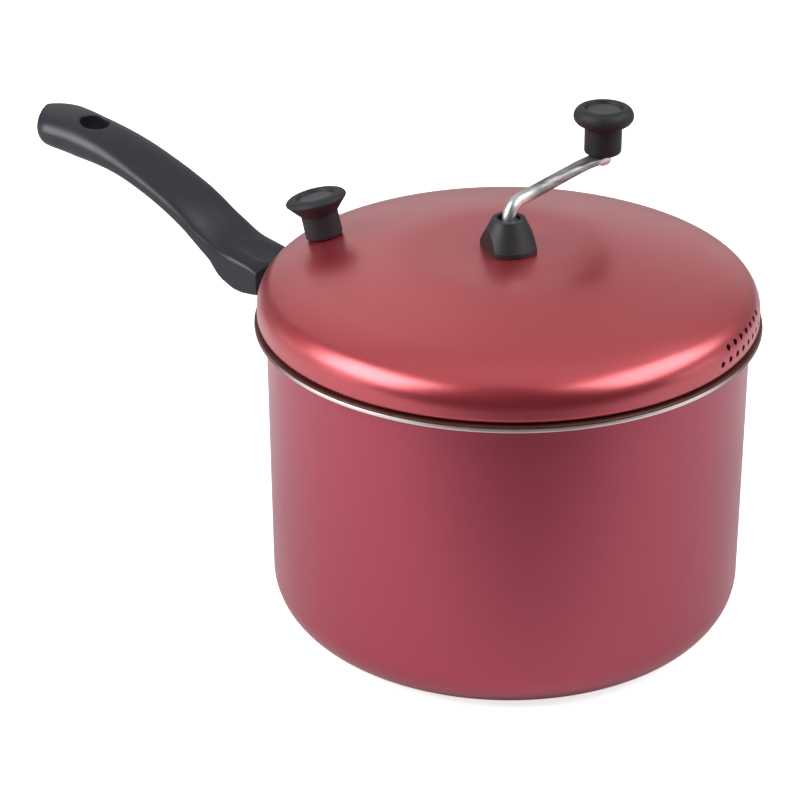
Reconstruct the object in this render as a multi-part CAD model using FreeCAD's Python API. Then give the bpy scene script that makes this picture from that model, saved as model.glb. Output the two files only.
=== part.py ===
import FreeCAD, Part
import math
import os
from FreeCAD import Vector as V

# Stovetop popcorn popper, millimetres.
# Own frame: +Z up, origin at the centre of the pot's flat bottom, handle along -X.

# ---------------------------------------------------------------- dimensions
# pot
POT_R = 113.48          # outside of the straight wall
WALL = 2.2              # wall thickness
FLOOR = 2.7             # floor thickness
CORNER_R = 20.77        # outside radius of the bottom corner
RIM_R = 119.0           # outside of the turned-out rim
RIM_TOP = 152.2         # height of the rim's top face
RIM_T = 2.67            # height of the rim's bare edge face
# lid, outside surface
LID_T = 1.0
LID_R = 117.57          # skirt
SKIRT_TOP = 158.22      # where the shoulder starts
CURL_Z = 155.1          # where the bottom edge starts to roll in
CURL_R = 2.6
SHOULDER_R = 13.9
SHOULDER_END = 25.94    # slope of the surface where the shoulder ends, degrees
BLEND_R = 79.41
BLEND_END = 12.93       # slope where the crown starts, degrees
FLAT_Z = 184.4          # flat centre of the lid
FLAT_R = 40.0           # where it starts to roll down into the crown
LIP_R = 110.7           # locating lip inside the pot's mouth
LIP_BOTTOM = 147.5
VENT_R = 1.5
VENT_STEP = 3.3
VENT_AZ0 = -5.4
# crank bushing
BUSH_R = 14.3
BUSH_FLANGE = 2.7
BUSH_TOP_R = 7.55
BUSH_TOP = 199.7
BUSH_FLAT = 10.4        # distance of the two wrench flats from the axis
BUSH_FLAT_AZ = (-128.0, 52.0)
SPIGOT_R = 8.0
SPIGOT_END = 176.4
BORE_R = 3.225          # running fit on the rod
RECESS_R = 5.4
RECESS_FLOOR = 197.4
# crank
ROD_R = 3.175
CRANK_AZ = 80.0
ARM_TILT = 4.23         # the arm rises towards the knob, degrees
ARM_Z0 = 205.77         # height of the arm's line, carried back to the shaft's axis
BEND_R = 8.0
ARM_R = 69.0            # pin axis from the pot's axis
EYE_R = 4.4
EYE_T = 3.6
EYE_Z = 209.6           # middle of the level eye
ROD_BOTTOM = 3.7
GROOVE_R = 2.72
# knobs
KNOB_NECK_R = 8.95
CRANK_CAP = (14.42, 12.9, 18.5, 23.0)       # cap radius, top of the neck, height of the widest ring, height
LID_CAP = (14.65, 12.0, 18.9, 21.2)
LID_KNOB_R = 92.6       # where the lid knob stands, from the pot's axis
LID_KNOB_AZ = 191.1
PIN_R = 2.5
KNOB_BORE_R = 2.56      # running fit on the pin
# stirrer
HUB_R = 8.0
HUB_Z0, HUB_Z1 = 5.0, 19.0
WIRE_R = 1.6
WIRE_AZ = (80.0, 260.0)
# handle: x distance, top height, slope, thickness, half width, section exponent, tilt share
GRIP = [
    (133.4, 147.07, 30.90, 13.40, 16.49, 8.20, 0.00),
    (137.0, 148.90, 23.25, 16.10, 16.50, 7.69, 0.36),
    (140.5, 150.20, 17.85, 17.90, 16.52, 7.20, 0.71),
    (144.0, 151.22, 15.12, 18.45, 16.56, 6.70, 1.00),
    (147.5, 152.16, 15.34, 17.78, 16.61, 6.21, 1.00),
    (151.0, 153.21, 18.46, 16.75, 16.74, 5.71, 1.00),
    (154.5, 154.54, 23.21, 14.01, 17.00, 5.22, 1.00),
    (158.0, 156.24, 28.77, 10.97, 17.29, 4.72, 1.00),
    (162.0, 158.76, 35.25, 10.21, 17.55, 4.15, 1.00),
    (167.0, 162.61, 39.09, 10.48, 17.59, 3.45, 1.00),
    (173.0, 167.45, 37.66, 10.87, 17.50, 3.20, 1.00),
    (181.0, 173.00, 32.13, 11.17, 17.29, 3.20, 1.00),
    (191.0, 178.75, 28.28, 11.55, 16.98, 3.07, 1.00),
    (203.0, 184.99, 26.46, 12.61, 16.71, 2.88, 1.00),
    (217.0, 191.41, 22.37, 14.51, 16.42, 2.66, 1.00),
    (232.0, 196.69, 16.44, 17.24, 16.21, 2.43, 1.00),
    (246.0, 200.11, 11.03, 19.00, 16.34, 2.21, 1.00),
    (257.0, 201.85, 6.96, 18.87, 17.27, 2.20, 1.00),
    (263.0, 202.47, 4.84, 18.43, 17.59, 2.20, 1.00),
    (267.5, 202.79, 3.29, 17.15, 15.95, 2.20, 1.00),
    (270.5, 202.94, 2.28, 15.34, 13.30, 2.20, 1.00),
    (272.6, 203.01, 1.59, 13.19, 10.10, 2.20, 1.00),
    (273.9, 203.04, 1.17, 11.01, 6.80, 2.20, 1.00),
    (274.6, 203.05, 0.94, 8.85, 3.40, 2.20, 1.00),
]
HANG_X = 243.56         # hanging hole
HANG_Z = 199.62
HANG_SLOPE = 11.96
HANG_R = 7.5
GRIP_X0 = 133.4
TONGUE_Z0, TONGUE_Z1 = 139.5, 142.5
TONGUE_X = 151.0
SCREW_X = 143.0

Z = V(0, 0, 1)
O = V(0, 0, 0)


# ---------------------------------------------------------------- helpers
class Profile:
    """Closed outline in the XZ half plane, turned about Z."""

    def __init__(self, x, z):
        self.p = (x, z)
        self.start = (x, z)
        self.edges = []

    def to(self, x, z):
        if math.hypot(x - self.p[0], z - self.p[1]) > 1e-7:
            self.edges.append(Part.makeLine(V(self.p[0], 0, self.p[1]), V(x, 0, z)))
            self.p = (x, z)
        return self

    def arc(self, cx, cz, r, a0, a1):
        """Arc about (cx, cz) from angle a0 to a1 in degrees, 0 outwards and 90 up."""
        def pt(a):
            return (cx + r * math.cos(math.radians(a)), cz + r * math.sin(math.radians(a)))
        s, m, e = pt(a0), pt(0.5 * (a0 + a1)), pt(a1)
        if math.hypot(s[0] - self.p[0], s[1] - self.p[1]) > 1e-6:
            self.to(*s)
        else:
            s = self.p
        self.edges.append(Part.Arc(V(s[0], 0, s[1]), V(m[0], 0, m[1]), V(e[0], 0, e[1])).toShape())
        self.p = e
        return self

    def turn(self, angle=360.0):
        self.to(*self.start)
        w = Part.Wire(Part.__sortEdges__(self.edges))
        return Part.Face(w).revolve(O, Z, angle)


def cyl(r, z0, z1):
    return Part.makeCylinder(r, z1 - z0, V(0, 0, z0), Z)


def ring(r0, r1, z0, z1):
    return cyl(r1, z0, z1).cut(cyl(r0, z0 - 1, z1 + 1))


def box(x0, x1, y0, y1, z0, z1):
    return Part.makeBox(x1 - x0, y1 - y0, z1 - z0, V(x0, y0, z0))


def about_z(shape, az):
    s = shape.copy()
    s.rotate(O, Z, az)
    return s


def super_ring(cx, cy, cz, ux, uy, hu, hv, n, count=28):
    """Closed smooth wire: superellipse with half sizes hu and hv along unit vectors ux and uy."""
    pts = []
    for i in range(count):
        t = 2 * math.pi * i / count
        c, s = math.cos(t), math.sin(t)
        a = math.copysign(abs(c) ** (2.0 / n), c) * hu
        b = math.copysign(abs(s) ** (2.0 / n), s) * hv
        pts.append(V(cx, cy, cz) + ux * a + uy * b)
    curve = Part.BSplineCurve()
    curve.interpolate(Points=pts, PeriodicFlag=True)
    return Part.Wire([curve.toShape()])


parts = {}


def keep(name, shape):
    if shape.ShapeType == "Compound" and len(shape.Solids) == 1:
        shape = shape.Solids[0]
    parts[name] = shape


# ---------------------------------------------------------------- pot
p = Profile(0, 0)
p.to(POT_R - CORNER_R, 0)
p.arc(POT_R - CORNER_R, CORNER_R, CORNER_R, -90, 0)
under = RIM_TOP - RIM_T
p.to(POT_R, under - 1.5)
p.arc(POT_R + 1.5, under - 1.5, 1.5, 180, 90)
p.to(RIM_R - 0.3, under)
p.arc(RIM_R - 0.3, under + 0.3, 0.3, -90, 0)
p.arc(RIM_R - 0.4, RIM_TOP - 0.4, 0.4, 0, 90)
pot_in = POT_R - WALL
p.to(pot_in + 2.0, RIM_TOP)
p.arc(pot_in + 2.0, RIM_TOP - 2.0, 2.0, 90, 180)
in_corner = 18.3
p.to(pot_in, FLOOR + in_corner)
p.arc(pot_in - in_corner, FLOOR + in_corner, in_corner, 0, -90)
p.to(0, FLOOR)
pot = p.turn()

# rivets: one low in the middle, two high at the sides
RIVETS = [(180.0, 116.0), (187.2, 136.5), (172.8, 136.5)]
RIVET_R = 2.4
PLATE_T = 2.5
plate_in = POT_R + 0.03
plate_out = plate_in + PLATE_T
for az, z in RIVETS:
    hole = Part.makeCylinder(RIVET_R + 0.05, 14, V(pot_in - 5, 0, z), V(1, 0, 0))
    pot = pot.cut(about_z(hole, az))
keep("pot_shell", pot)

# handle bracket: curved plate, channel and tongue
plate = ring(plate_in, plate_out, 107.0, 145.5)
wedge = box(0, 150, -20.5, 20.5, 100, 150)
plate = about_z(plate.common(wedge), 180)
corner_cut = box(-150, -100, -30, 30, 100, 150)
# rounded lower corners of the plate
for sy in (-1, 1):
    cc = Part.makeBox(60, 9, 9, V(-150, sy * 20.5 - (9 if sy > 0 else 0), 107.0 - 0.001))
    keep_round = Part.makeCylinder(9, 60, V(-150, sy * (20.5 - 9), 107.0 + 9), V(1, 0, 0))
    plate = plate.cut(cc.cut(keep_round))
web = box(-(GRIP_X0 - 0.3), -(plate_in + 0.6), -9.5, 9.5, TONGUE_Z0, TONGUE_Z1)
side = Part.Face(Part.makePolygon([
    V(-(plate_in + 0.6), 0, 118.0), V(-(GRIP_X0 - 0.3), 0, 134.5), V(-(GRIP_X0 - 0.3), 0, TONGUE_Z1),
    V(-(plate_in + 0.6), 0, TONGUE_Z1), V(-(plate_in + 0.6), 0, 118.0)]))
cheeks = []
for y0 in (-9.5, 7.3):
    c = side.copy()
    c.translate(V(0, y0, 0))
    cheeks.append(c.extrude(V(0, 2.2, 0)))
tongue = box(-TONGUE_X, -(GRIP_X0 - 4), -7.0, 7.0, TONGUE_Z0, TONGUE_Z1)
bracket = plate.fuse([web] + cheeks + [tongue])
inside_cut = cyl(plate_in, 90, 160)
bracket = bracket.cut(inside_cut)
for az, z in RIVETS:
    hole = Part.makeCylinder(RIVET_R + 0.05, 14, V(pot_in - 5, 0, z), V(1, 0, 0))
    bracket = bracket.cut(about_z(hole, az))
bracket = bracket.cut(Part.makeCylinder(2.05, 12, V(-SCREW_X, 0, TONGUE_Z0 - 4), Z))
keep("handle_bracket", bracket.removeSplitter())

# rivets, turned about their own axis then laid along the wall's normal
rivets = []
for az, z in RIVETS:
    r = Profile(0, -1.7)
    r.to(1.2, -1.66)
    r.arc(0, 4.2, 5.98, -78.4, -44.0)
    r.to(4.3, 0.0)
    r.to(RIVET_R, 0.0)
    top = plate_out - pot_in + 0.18
    r.to(RIVET_R, top)
    r.to(3.9, top)
    r.to(3.5, top + 0.9)
    r.to(1.6, top + 1.5)
    r.to(0, top + 1.5)
    s = r.turn()
    s.rotate(O, V(0, 1, 0), 90)
    s.translate(V(pot_in - 0.1, 0, z))
    rivets.append(about_z(s, az))
keep("bracket_rivets", Part.makeCompound(rivets))

# handle grip
wires = []
for x, zt, slope, t, hw, n, share in GRIP:
    a = math.radians(slope) * share
    up = V(math.sin(a), 0, math.cos(a))      # x runs the other way: the normal leans to +X
    mid = V(-x, 0, zt) - up * (t / 2.0)
    wires.append(super_ring(mid.x, mid.y, mid.z, V(0, 1, 0), up, hw, t / 2.0, n))
grip = Part.makeLoft(wires, True, False)
# hanging hole along the local normal, with a small lead-in at both faces
ha = math.radians(HANG_SLOPE)
hn = V(math.sin(ha), 0, math.cos(ha))
hc = V(-HANG_X, 0, HANG_Z)
grip = grip.cut(Part.makeCylinder(HANG_R, 60, hc - hn * 40, hn))
grip = grip.cut(Part.makeCone(HANG_R, HANG_R + 6, 6, hc - hn * 0.5, hn))
# thumb hollow
hollow = Part.makeSphere(10.0)
m = FreeCAD.Matrix()
m.scale(1.5, 1.0, 0.32)
hollow = hollow.transformGeometry(m)
hollow.rotate(O, V(0, 1, 0), 16)
hollow.translate(V(-141.8, 0, 152.4))
grip = grip.cut(hollow)
# socket for the tongue, screw passage and counterbore
grip = grip.cut(box(-(TONGUE_X + 0.4), -(GRIP_X0 - 5), -7.15, 7.15, TONGUE_Z0 - 0.15, TONGUE_Z1 + 0.15))
grip = grip.cut(Part.makeCylinder(2.2, 24, V(-SCREW_X, 0, 122), Z))
grip = grip.cut(Part.makeCylinder(4.2, 14.7, V(-SCREW_X, 0, 120), Z))
keep("handle_grip", grip)

# handle screw: pan head below, shank up through the tongue
s = Profile(0, 132.45)
s.to(3.0, 132.45)
s.to(3.9, 133.2)
s.to(3.9, 134.65)
s.to(2.0, 134.65)
s.to(2.0, 145.2)
s.to(1.5, 145.8)
s.to(0, 145.8)
screw = s.turn()
for k in (0, 90):
    slot = box(-2.6, 2.6, -0.45, 0.45, 131, 133.5)
    screw = screw.cut(about_z(slot, k))
screw.translate(V(-SCREW_X, 0, 0))
keep("handle_screw", screw)


# ---------------------------------------------------------------- lid
sh_cx, sh_cz = LID_R - SHOULDER_R, SKIRT_TOP
a1 = 90.0 - SHOULDER_END
r1 = sh_cx + SHOULDER_R * math.cos(math.radians(a1))
z1 = sh_cz + SHOULDER_R * math.sin(math.radians(a1))
bl_cx = r1 - BLEND_R * math.cos(math.radians(a1))
bl_cz = z1 - BLEND_R * math.sin(math.radians(a1))
a2 = 90.0 - BLEND_END
r2 = bl_cx + BLEND_R * math.cos(math.radians(a2))
z2 = bl_cz + BLEND_R * math.sin(math.radians(a2))
CROWN_R = r2 / math.cos(math.radians(a2))
cr_cz = z2 - CROWN_R * math.sin(math.radians(a2))


def crown_z(r, inset=0.0):
    return cr_cz + math.sqrt((CROWN_R - inset) ** 2 - r * r)


# arc that leaves the flat centre level and runs into the crown without a step
FLAT_H = FLAT_Z - cr_cz
FLAT_ARC = (CROWN_R ** 2 - FLAT_H ** 2 - FLAT_R ** 2) / (2 * (CROWN_R - FLAT_H))
a3 = math.degrees(math.atan2(FLAT_H - FLAT_ARC, FLAT_R))
t = LID_T
p = Profile(0, FLAT_Z)
p.to(FLAT_R, FLAT_Z)
p.arc(FLAT_R, FLAT_Z - FLAT_ARC, FLAT_ARC, 90, a3)
p.arc(0, cr_cz, CROWN_R, a3, a2)
p.arc(bl_cx, bl_cz, BLEND_R, a2, a1)
p.arc(sh_cx, sh_cz, SHOULDER_R, a1, 0)
p.to(LID_R, CURL_Z)
p.arc(LID_R - CURL_R, CURL_Z, CURL_R, 0, -90)
ring_z = CURL_Z - CURL_R
p.to(LIP_R + 1.0, ring_z)
p.arc(LIP_R + 1.0, ring_z - 1.0, 1.0, 90, 180)
p.to(LIP_R, LIP_BOTTOM)
p.to(LIP_R - t, LIP_BOTTOM)
p.to(LIP_R - t, ring_z - 1.0)
p.arc(LIP_R + 1.0, ring_z - 1.0, 1.0 + t, 180, 90)
p.to(LID_R - CURL_R, ring_z + t)
p.arc(LID_R - CURL_R, CURL_Z, CURL_R - t, -90, 0)
p.to(LID_R - t, SKIRT_TOP)
p.arc(sh_cx, sh_cz, SHOULDER_R - t, 0, a1)
p.arc(bl_cx, bl_cz, BLEND_R - t, a1, a2)
p.arc(0, cr_cz, CROWN_R - t, a2, a3)
p.arc(FLAT_R, FLAT_Z - FLAT_ARC, FLAT_ARC - t, a3, 90)
p.to(0, FLAT_Z - t)
lid = p.turn()
lid = lid.cut(cyl(SPIGOT_R + 0.15, 170, 195))

# steam vents: upper row on the shoulder, lower row on the skirt
up_z = 164.35
up_tilt = math.degrees(math.asin((up_z - sh_cz) / SHOULDER_R))
cutters = []
for i in range(8):
    az = VENT_AZ0 + VENT_STEP * i
    low = Part.makeCylinder(VENT_R, 8, V(LID_R - 4, 0, 158.7), V(1, 0, 0))
    cutters.append(about_z(low, az))
    if i > 0:
        ct, st = math.cos(math.radians(up_tilt)), math.sin(math.radians(up_tilt))
        base = V(sh_cx + (SHOULDER_R - 4) * ct, 0, sh_cz + (SHOULDER_R - 4) * st)
        cutters.append(about_z(Part.makeCylinder(VENT_R, 8, base, V(ct, 0, st)), az))
lid = lid.cut(cutters[0].multiFuse(cutters[1:]))

# lid knob place: on the crown, square to it
kn_slope = math.degrees(math.asin(LID_KNOB_R / CROWN_R)) if LID_KNOB_R < r2 else BLEND_END
kn_base = V(LID_KNOB_R, 0, crown_z(LID_KNOB_R))


def on_lid(shape):
    """Move a shape built about +Z at the origin onto the lid knob's seat."""
    s = shape.copy()
    s.rotate(O, V(0, 1, 0), kn_slope)
    s.translate(kn_base)
    s.rotate(O, Z, LID_KNOB_AZ)
    return s


lid = lid.cut(on_lid(cyl(2.3, -6, 6)))
keep("lid_shell", lid)


def knob_outline(r0, cap_r, neck_top, widest, height, flared):
    """Outside of a moulded knob, from the bottom edge at radius r0 up to the floor of its dish."""
    p = Profile(r0, 0)
    p.to(KNOB_NECK_R - 1.6, 0)
    p.arc(KNOB_NECK_R - 1.6, 1.6, 1.6, -90, 0)
    p.to(KNOB_NECK_R, neck_top)
    if flared:                           # straight flare under a thin edge
        p.to(cap_r - 0.3, widest - 0.75)
        p.to(cap_r, widest - 0.35)
        cr = 9.7
    else:                                # full cap: a small fillet, then a quarter oval
        p.arc(KNOB_NECK_R + 0.9, neck_top, 0.9, 180, 90)
        for k in range(1, 13):
            a = math.radians(-72.0 + 72.0 * k / 12)
            p.to(8.0 + (cap_r - 8.0) * math.cos(a), widest + (widest - neck_top - 0.95) * math.sin(a))
        cr = 10.2
    for k in range(0 if flared else 1, 11):     # rounded top of the cap, a quarter oval
        a = math.radians(9.0 * k)
        p.to(cr + (cap_r - cr) * math.cos(a), widest + (height - widest) * math.sin(a))
    p.to(9.45, height - 0.12)
    p.to(9.2, height - 0.42)
    p.to(8.75, height - 1.45)
    p.to(8.55, height - 1.62)
    p.to(8.55, height - 3.35)
    return p


def knob_cap(height):
    p = Profile(0, height - 3.25)
    p.to(8.48, height - 3.25)
    p.to(8.48, height - 1.75)
    p.to(8.3, height - 1.6)
    p.to(0, height - 1.72)
    return p.turn()


p = knob_outline(0, *LID_CAP, True)
p.to(0, LID_CAP[3] - 3.35)
lid_knob = p.turn().cut(cyl(4.02, -1, 11.2))
keep("lid_knob", on_lid(lid_knob))
keep("lid_knob_cap", on_lid(knob_cap(LID_CAP[3])))
insert = ring(2.0, 4.0, 0.02, 11.0)
for z in (3.0, 7.0):
    insert = insert.cut(ring(3.7, 5.0, z, z + 1.0))
keep("lid_knob_insert", on_lid(insert))
# screw and washer from inside the lid, drawn along the knob's axis
keep("lid_knob_washer", on_lid(ring(2.2, 5.0, -t - 1.12, -t - 0.12)))
p = Profile(0, -t - 3.6)
p.to(3.0, -t - 3.6)
p.to(3.9, -t - 2.8)
p.to(3.9, -t - 1.15)
p.to(1.97, -t - 1.15)
p.to(1.97, 9.0)
p.to(1.5, 9.6)
p.to(0, 9.6)
ks = p.turn()
for k in (0, 90):
    ks = ks.cut(about_z(box(-2.6, 2.6, -0.45, 0.45, -t - 5, -t - 2.5), k))
keep("lid_knob_screw", on_lid(ks))

# crank bushing
p = Profile(0, SPIGOT_END)
p.to(SPIGOT_R - 0.6, SPIGOT_END)
p.to(SPIGOT_R, SPIGOT_END + 0.6)
p.to(SPIGOT_R, FLAT_Z + 0.02)
p.to(BUSH_R - 0.2, FLAT_Z + 0.02)
p.to(BUSH_R, FLAT_Z + 0.3)
p.to(BUSH_R, FLAT_Z + BUSH_FLANGE - 0.3)
p.to(BUSH_R - 0.3, FLAT_Z + BUSH_FLANGE)
p.to(BUSH_TOP_R + 0.35, BUSH_TOP - 0.45)
p.to(BUSH_TOP_R - 0.35, BUSH_TOP)
p.to(RECESS_R + 0.2, BUSH_TOP)
p.to(RECESS_R, BUSH_TOP - 0.25)
p.to(RECESS_R, RECESS_FLOOR)
p.to(0, RECESS_FLOOR)
bush = p.turn().cut(cyl(BORE_R, 170, 205))
for az in BUSH_FLAT_AZ:
    bush = bush.cut(about_z(box(BUSH_FLAT, 20, -15, 15, FLAT_Z - 0.5, 205), az))
keep("crank_bushing", bush)
under_flat = FLAT_Z - t
keep("bushing_washer", ring(SPIGOT_R + 0.1, 13.0, under_flat - 1.2, under_flat - 0.02))
hexw = Part.makePolygon([V(12.7 * math.cos(math.radians(60 * k)), 12.7 * math.sin(math.radians(60 * k)), under_flat - 6.2) for k in range(7)])
nut = Part.Face(hexw).extrude(V(0, 0, 4.98))
p = Profile(0, under_flat - 6.2)
p.to(11.3, under_flat - 6.2)
p.to(12.8, under_flat - 5.5)
p.to(12.8, under_flat - 1.2)
p.to(0, under_flat - 1.2)
nut = nut.common(p.turn()).cut(cyl(SPIGOT_R + 0.02, 170, 190))
keep("bushing_nut", nut)

# ---------------------------------------------------------------- crank
tilt = math.radians(ARM_TILT)
turn = 90.0 - ARM_TILT


def arm_z(x):
    return ARM_Z0 + x * math.tan(tilt)


arm_x0 = BEND_R * (1 - math.cos(math.radians(turn)))
bend_z = arm_z(arm_x0) - BEND_R * math.sin(math.radians(turn))
shaft = cyl(ROD_R, ROD_BOTTOM + 0.6, bend_z)
tip = Part.makeCone(ROD_R - 0.6, ROD_R, 0.6, V(0, 0, ROD_BOTTOM), Z)
circle = Part.Face(Part.Wire([Part.Circle(V(0, 0, bend_z), Z, ROD_R).toShape()]))
bend = circle.revolve(V(BEND_R, 0, bend_z), V(0, 1, 0), turn)
along = V(math.cos(tilt), 0, math.sin(tilt))
ARM_END = 40.0
arm = Part.makeCylinder(ROD_R, (ARM_END - arm_x0) / math.cos(tilt), V(arm_x0, 0, arm_z(arm_x0)), along)
stations = [(35.0, arm_z(35), 1.0, 2.80, 2.80, 2.0), (38.0, arm_z(38), 1.0, 2.95, 2.93, 2.0), (40.0, arm_z(40), 1.0, 3.10, 3.02, 2.03),
            (44.0, arm_z(44), 1.0, 3.28, 2.85, 2.15), (49.0, arm_z(49), 0.9, 3.56, 2.48, 2.6), (54.0, 209.68, 0.5, 3.82, 2.05, 3.4),
            (58.0, 209.66, 0.1, 3.98, 1.76, 4.2), (61.0, EYE_Z, 0.0, 4.02, 1.68, 4.8)]
sections = []
for x, zc, share, hw, hh, n in stations:
    lean = tilt * share
    sections.append(super_ring(x, 0, zc, V(0, 1, 0), V(-math.sin(lean), 0, math.cos(lean)), hw, hh, n))
flat_end = Part.makeLoft(sections, True, False)
eye = Part.makeCylinder(EYE_R, EYE_T, V(ARM_R, 0, EYE_Z - EYE_T / 2.0), Z)
eye_link = box(59.5, ARM_R, -4.2, 4.2, EYE_Z - EYE_T / 2.0, EYE_Z + EYE_T / 2.0)
eye = eye.fuse(eye_link).removeSplitter()
rod = shaft.fuse([tip, bend, arm]).removeSplitter()
rod = rod.fuse([flat_end, eye])
rod = rod.cut(Part.makeCylinder(1.95, 12, V(ARM_R, 0, EYE_Z - 6), Z))
CLIP_T = 0.8
clip_up = RECESS_FLOOR + 0.3
clip_low = SPIGOT_END - 0.3 - 0.9 - 0.05 - CLIP_T
for z0 in (clip_up, clip_low):
    rod = rod.cut(ring(GROOVE_R, 6.0, z0 - 0.05, z0 + CLIP_T + 0.05))
rod = rod.removeSplitter()
keep("crank_rod", about_z(rod, CRANK_AZ))

clips = []
for z0 in (clip_up, clip_low):
    c = ring(GROOVE_R + 0.03, 4.9, z0, z0 + CLIP_T)
    c = c.cut(box(0, 8, -2.2, 2.2, z0 - 1, z0 + 2))
    c = c.cut(cyl(3.9, z0 - 1, z0 + 2).common(box(0, 8, -3.4, 3.4, z0 - 1, z0 + 2)))
    clips.append(about_z(c, CRANK_AZ + 90))
keep("rod_clips", Part.makeCompound(clips))
washer_top = SPIGOT_END - 0.3
keep("thrust_washer", ring(ROD_R + 0.06, 7.0, washer_top - 0.9, washer_top))

# stirrer
hub = ring(ROD_R + 0.02, HUB_R, HUB_Z0, HUB_Z1)
hub = hub.cut(ring(HUB_R - 0.6, HUB_R + 1, HUB_Z1 - 0.6, HUB_Z1 + 1).cut(Part.makeCone(HUB_R, HUB_R - 1.0, 1.0, V(0, 0, HUB_Z1 - 0.8), Z)))
for az in WIRE_AZ:
    hub = hub.cut(about_z(Part.makeCylinder(WIRE_R + 0.02, 12, V(4.6, 0, 8.6), V(1, 0, 0)), az))
THUMB_AZ = 350.0
THUMB_Z = 14.6
hub = hub.cut(about_z(Part.makeCylinder(2.02, 12, V(0, 0, THUMB_Z), V(1, 0, 0)), THUMB_AZ))
keep("stirrer_hub", hub)
p = Profile(0, 0)
p.to(1.4, 0)
p.to(2.0, 0.6)
p.to(2.0, 5.6)
p.to(4.4, 5.6)
p.to(4.9, 6.1)
p.to(4.9, 10.6)
p.to(4.4, 11.1)
p.to(0, 11.1)
thumb = p.turn()
for k in range(12):
    thumb = thumb.cut(about_z(Part.makeCylinder(0.55, 8, V(5.05, 0, 5.0), Z), 30 * k))
thumb.rotate(O, V(0, 1, 0), 90)
thumb.translate(V(ROD_R + 0.03, 0, THUMB_Z))
keep("hub_thumbscrew", about_z(thumb, THUMB_AZ))

WIRE_Z = FLOOR + WIRE_R + 0.5
corner_cx, corner_cz = pot_in - in_corner, FLOOR + in_corner
tip_r = in_corner - WIRE_R - 2.6


def wire_path():
    """Centre line of one sweeping wire in the XZ plane, from inside the hub to its upturned end."""
    e = []
    drop_r = 6.0
    drop_a = math.degrees(math.acos(1 - (8.6 - WIRE_Z) / (2 * drop_r)))
    x0 = 18.0
    dx = drop_r * math.sin(math.radians(drop_a))
    ca, sa = math.cos(math.radians(drop_a)), math.sin(math.radians(drop_a))
    ha_, sh_ = math.cos(math.radians(drop_a / 2)), math.sin(math.radians(drop_a / 2))
    e.append(Part.makeLine(V(4.8, 0, 8.6), V(x0, 0, 8.6)))
    p1 = V(x0 + drop_r * sa, 0, 8.6 - drop_r * (1 - ca))
    e.append(Part.Arc(V(x0, 0, 8.6), V(x0 + drop_r * sh_, 0, 8.6 - drop_r * (1 - ha_)), p1).toShape())
    x2 = x0 + 2 * dx
    p2 = V(x2, 0, WIRE_Z)
    e.append(Part.Arc(p1, V(x2 - drop_r * sh_, 0, WIRE_Z + drop_r * (1 - ha_)), p2).toShape())
    cz = WIRE_Z + tip_r
    x3 = corner_cx
    e.append(Part.makeLine(p2, V(x3, 0, WIRE_Z)))
    a = math.radians(62)
    pm = V(x3 + tip_r * math.sin(a / 2), 0, cz - tip_r * math.cos(a / 2))
    p4 = V(x3 + tip_r * math.sin(a), 0, cz - tip_r * math.cos(a))
    e.append(Part.Arc(V(x3, 0, WIRE_Z), pm, p4).toShape())
    e.append(Part.makeLine(p4, p4 + V(math.cos(a), 0, math.sin(a)) * 9.0))
    return Part.Wire(e)


path = wire_path()
prof = Part.Wire([Part.Circle(V(4.8, 0, 8.6), V(1, 0, 0), WIRE_R).toShape()])
wire_solid = path.makePipeShell([prof], True, False)
for name, az in zip(("stirrer_wire_a", "stirrer_wire_b"), WIRE_AZ):
    keep(name, about_z(wire_solid, az))

# knob pin: head inside the knob, shoulder on the eye, peened below
KB = EYE_Z + EYE_T / 2.0 + 0.4          # underside of the crank knob
eye_top, eye_bot = EYE_Z + EYE_T / 2.0, EYE_Z - EYE_T / 2.0
head_z = KB + 16.4
p = Profile(0, eye_bot - 1.75)
p.to(1.2, eye_bot - 1.68)
p.to(2.3, eye_bot - 1.38)
p.to(3.1, eye_bot - 0.85)
p.to(3.5, eye_bot - 0.25)
p.to(3.5, eye_bot - 0.02)
p.to(1.92, eye_bot - 0.02)
p.to(1.92, eye_top + 0.02)
p.to(PIN_R, eye_top + 0.02)
p.to(PIN_R, head_z)
p.to(4.4, head_z)
p.to(4.4, head_z + 0.8)
p.to(3.8, head_z + 1.3)
p.to(0, head_z + 1.3)
pin = p.turn()
pin.translate(V(ARM_R, 0, 0))
keep("knob_pin", about_z(pin, CRANK_AZ))
w = ring(PIN_R + 0.06, 5.2, KB + 15.75, KB + 16.35)
w.translate(V(ARM_R, 0, 0))
keep("knob_pin_washer", about_z(w, CRANK_AZ))

# crank knob, on the pin
p = knob_outline(KNOB_BORE_R, *CRANK_CAP, False)
p.to(5.8, CRANK_CAP[3] - 3.35)
p.to(5.8, 15.5)
p.to(KNOB_BORE_R, 15.5)
crank_knob = p.turn()
crank_knob.translate(V(ARM_R, 0, KB))
keep("crank_knob", about_z(crank_knob, CRANK_AZ))
cap = knob_cap(CRANK_CAP[3])
cap.translate(V(ARM_R, 0, KB))
keep("crank_knob_cap", about_z(cap, CRANK_AZ))

# ---------------------------------------------------------------- out
os.makedirs("parts", exist_ok=True)
for name, shape in parts.items():
    shape.exportStep("parts/%s.step" % name)
    bb = shape.BoundBox
    print("%-18s solids %d valid %s volume %.1f  z %.2f..%.2f" % (name, len(shape.Solids), shape.isValid(), shape.Volume, bb.ZMin, bb.ZMax))
print("nodes", len(parts))
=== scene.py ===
import math

import bmesh
import bpy
import numpy as np
from mathutils import Matrix, Vector


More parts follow.
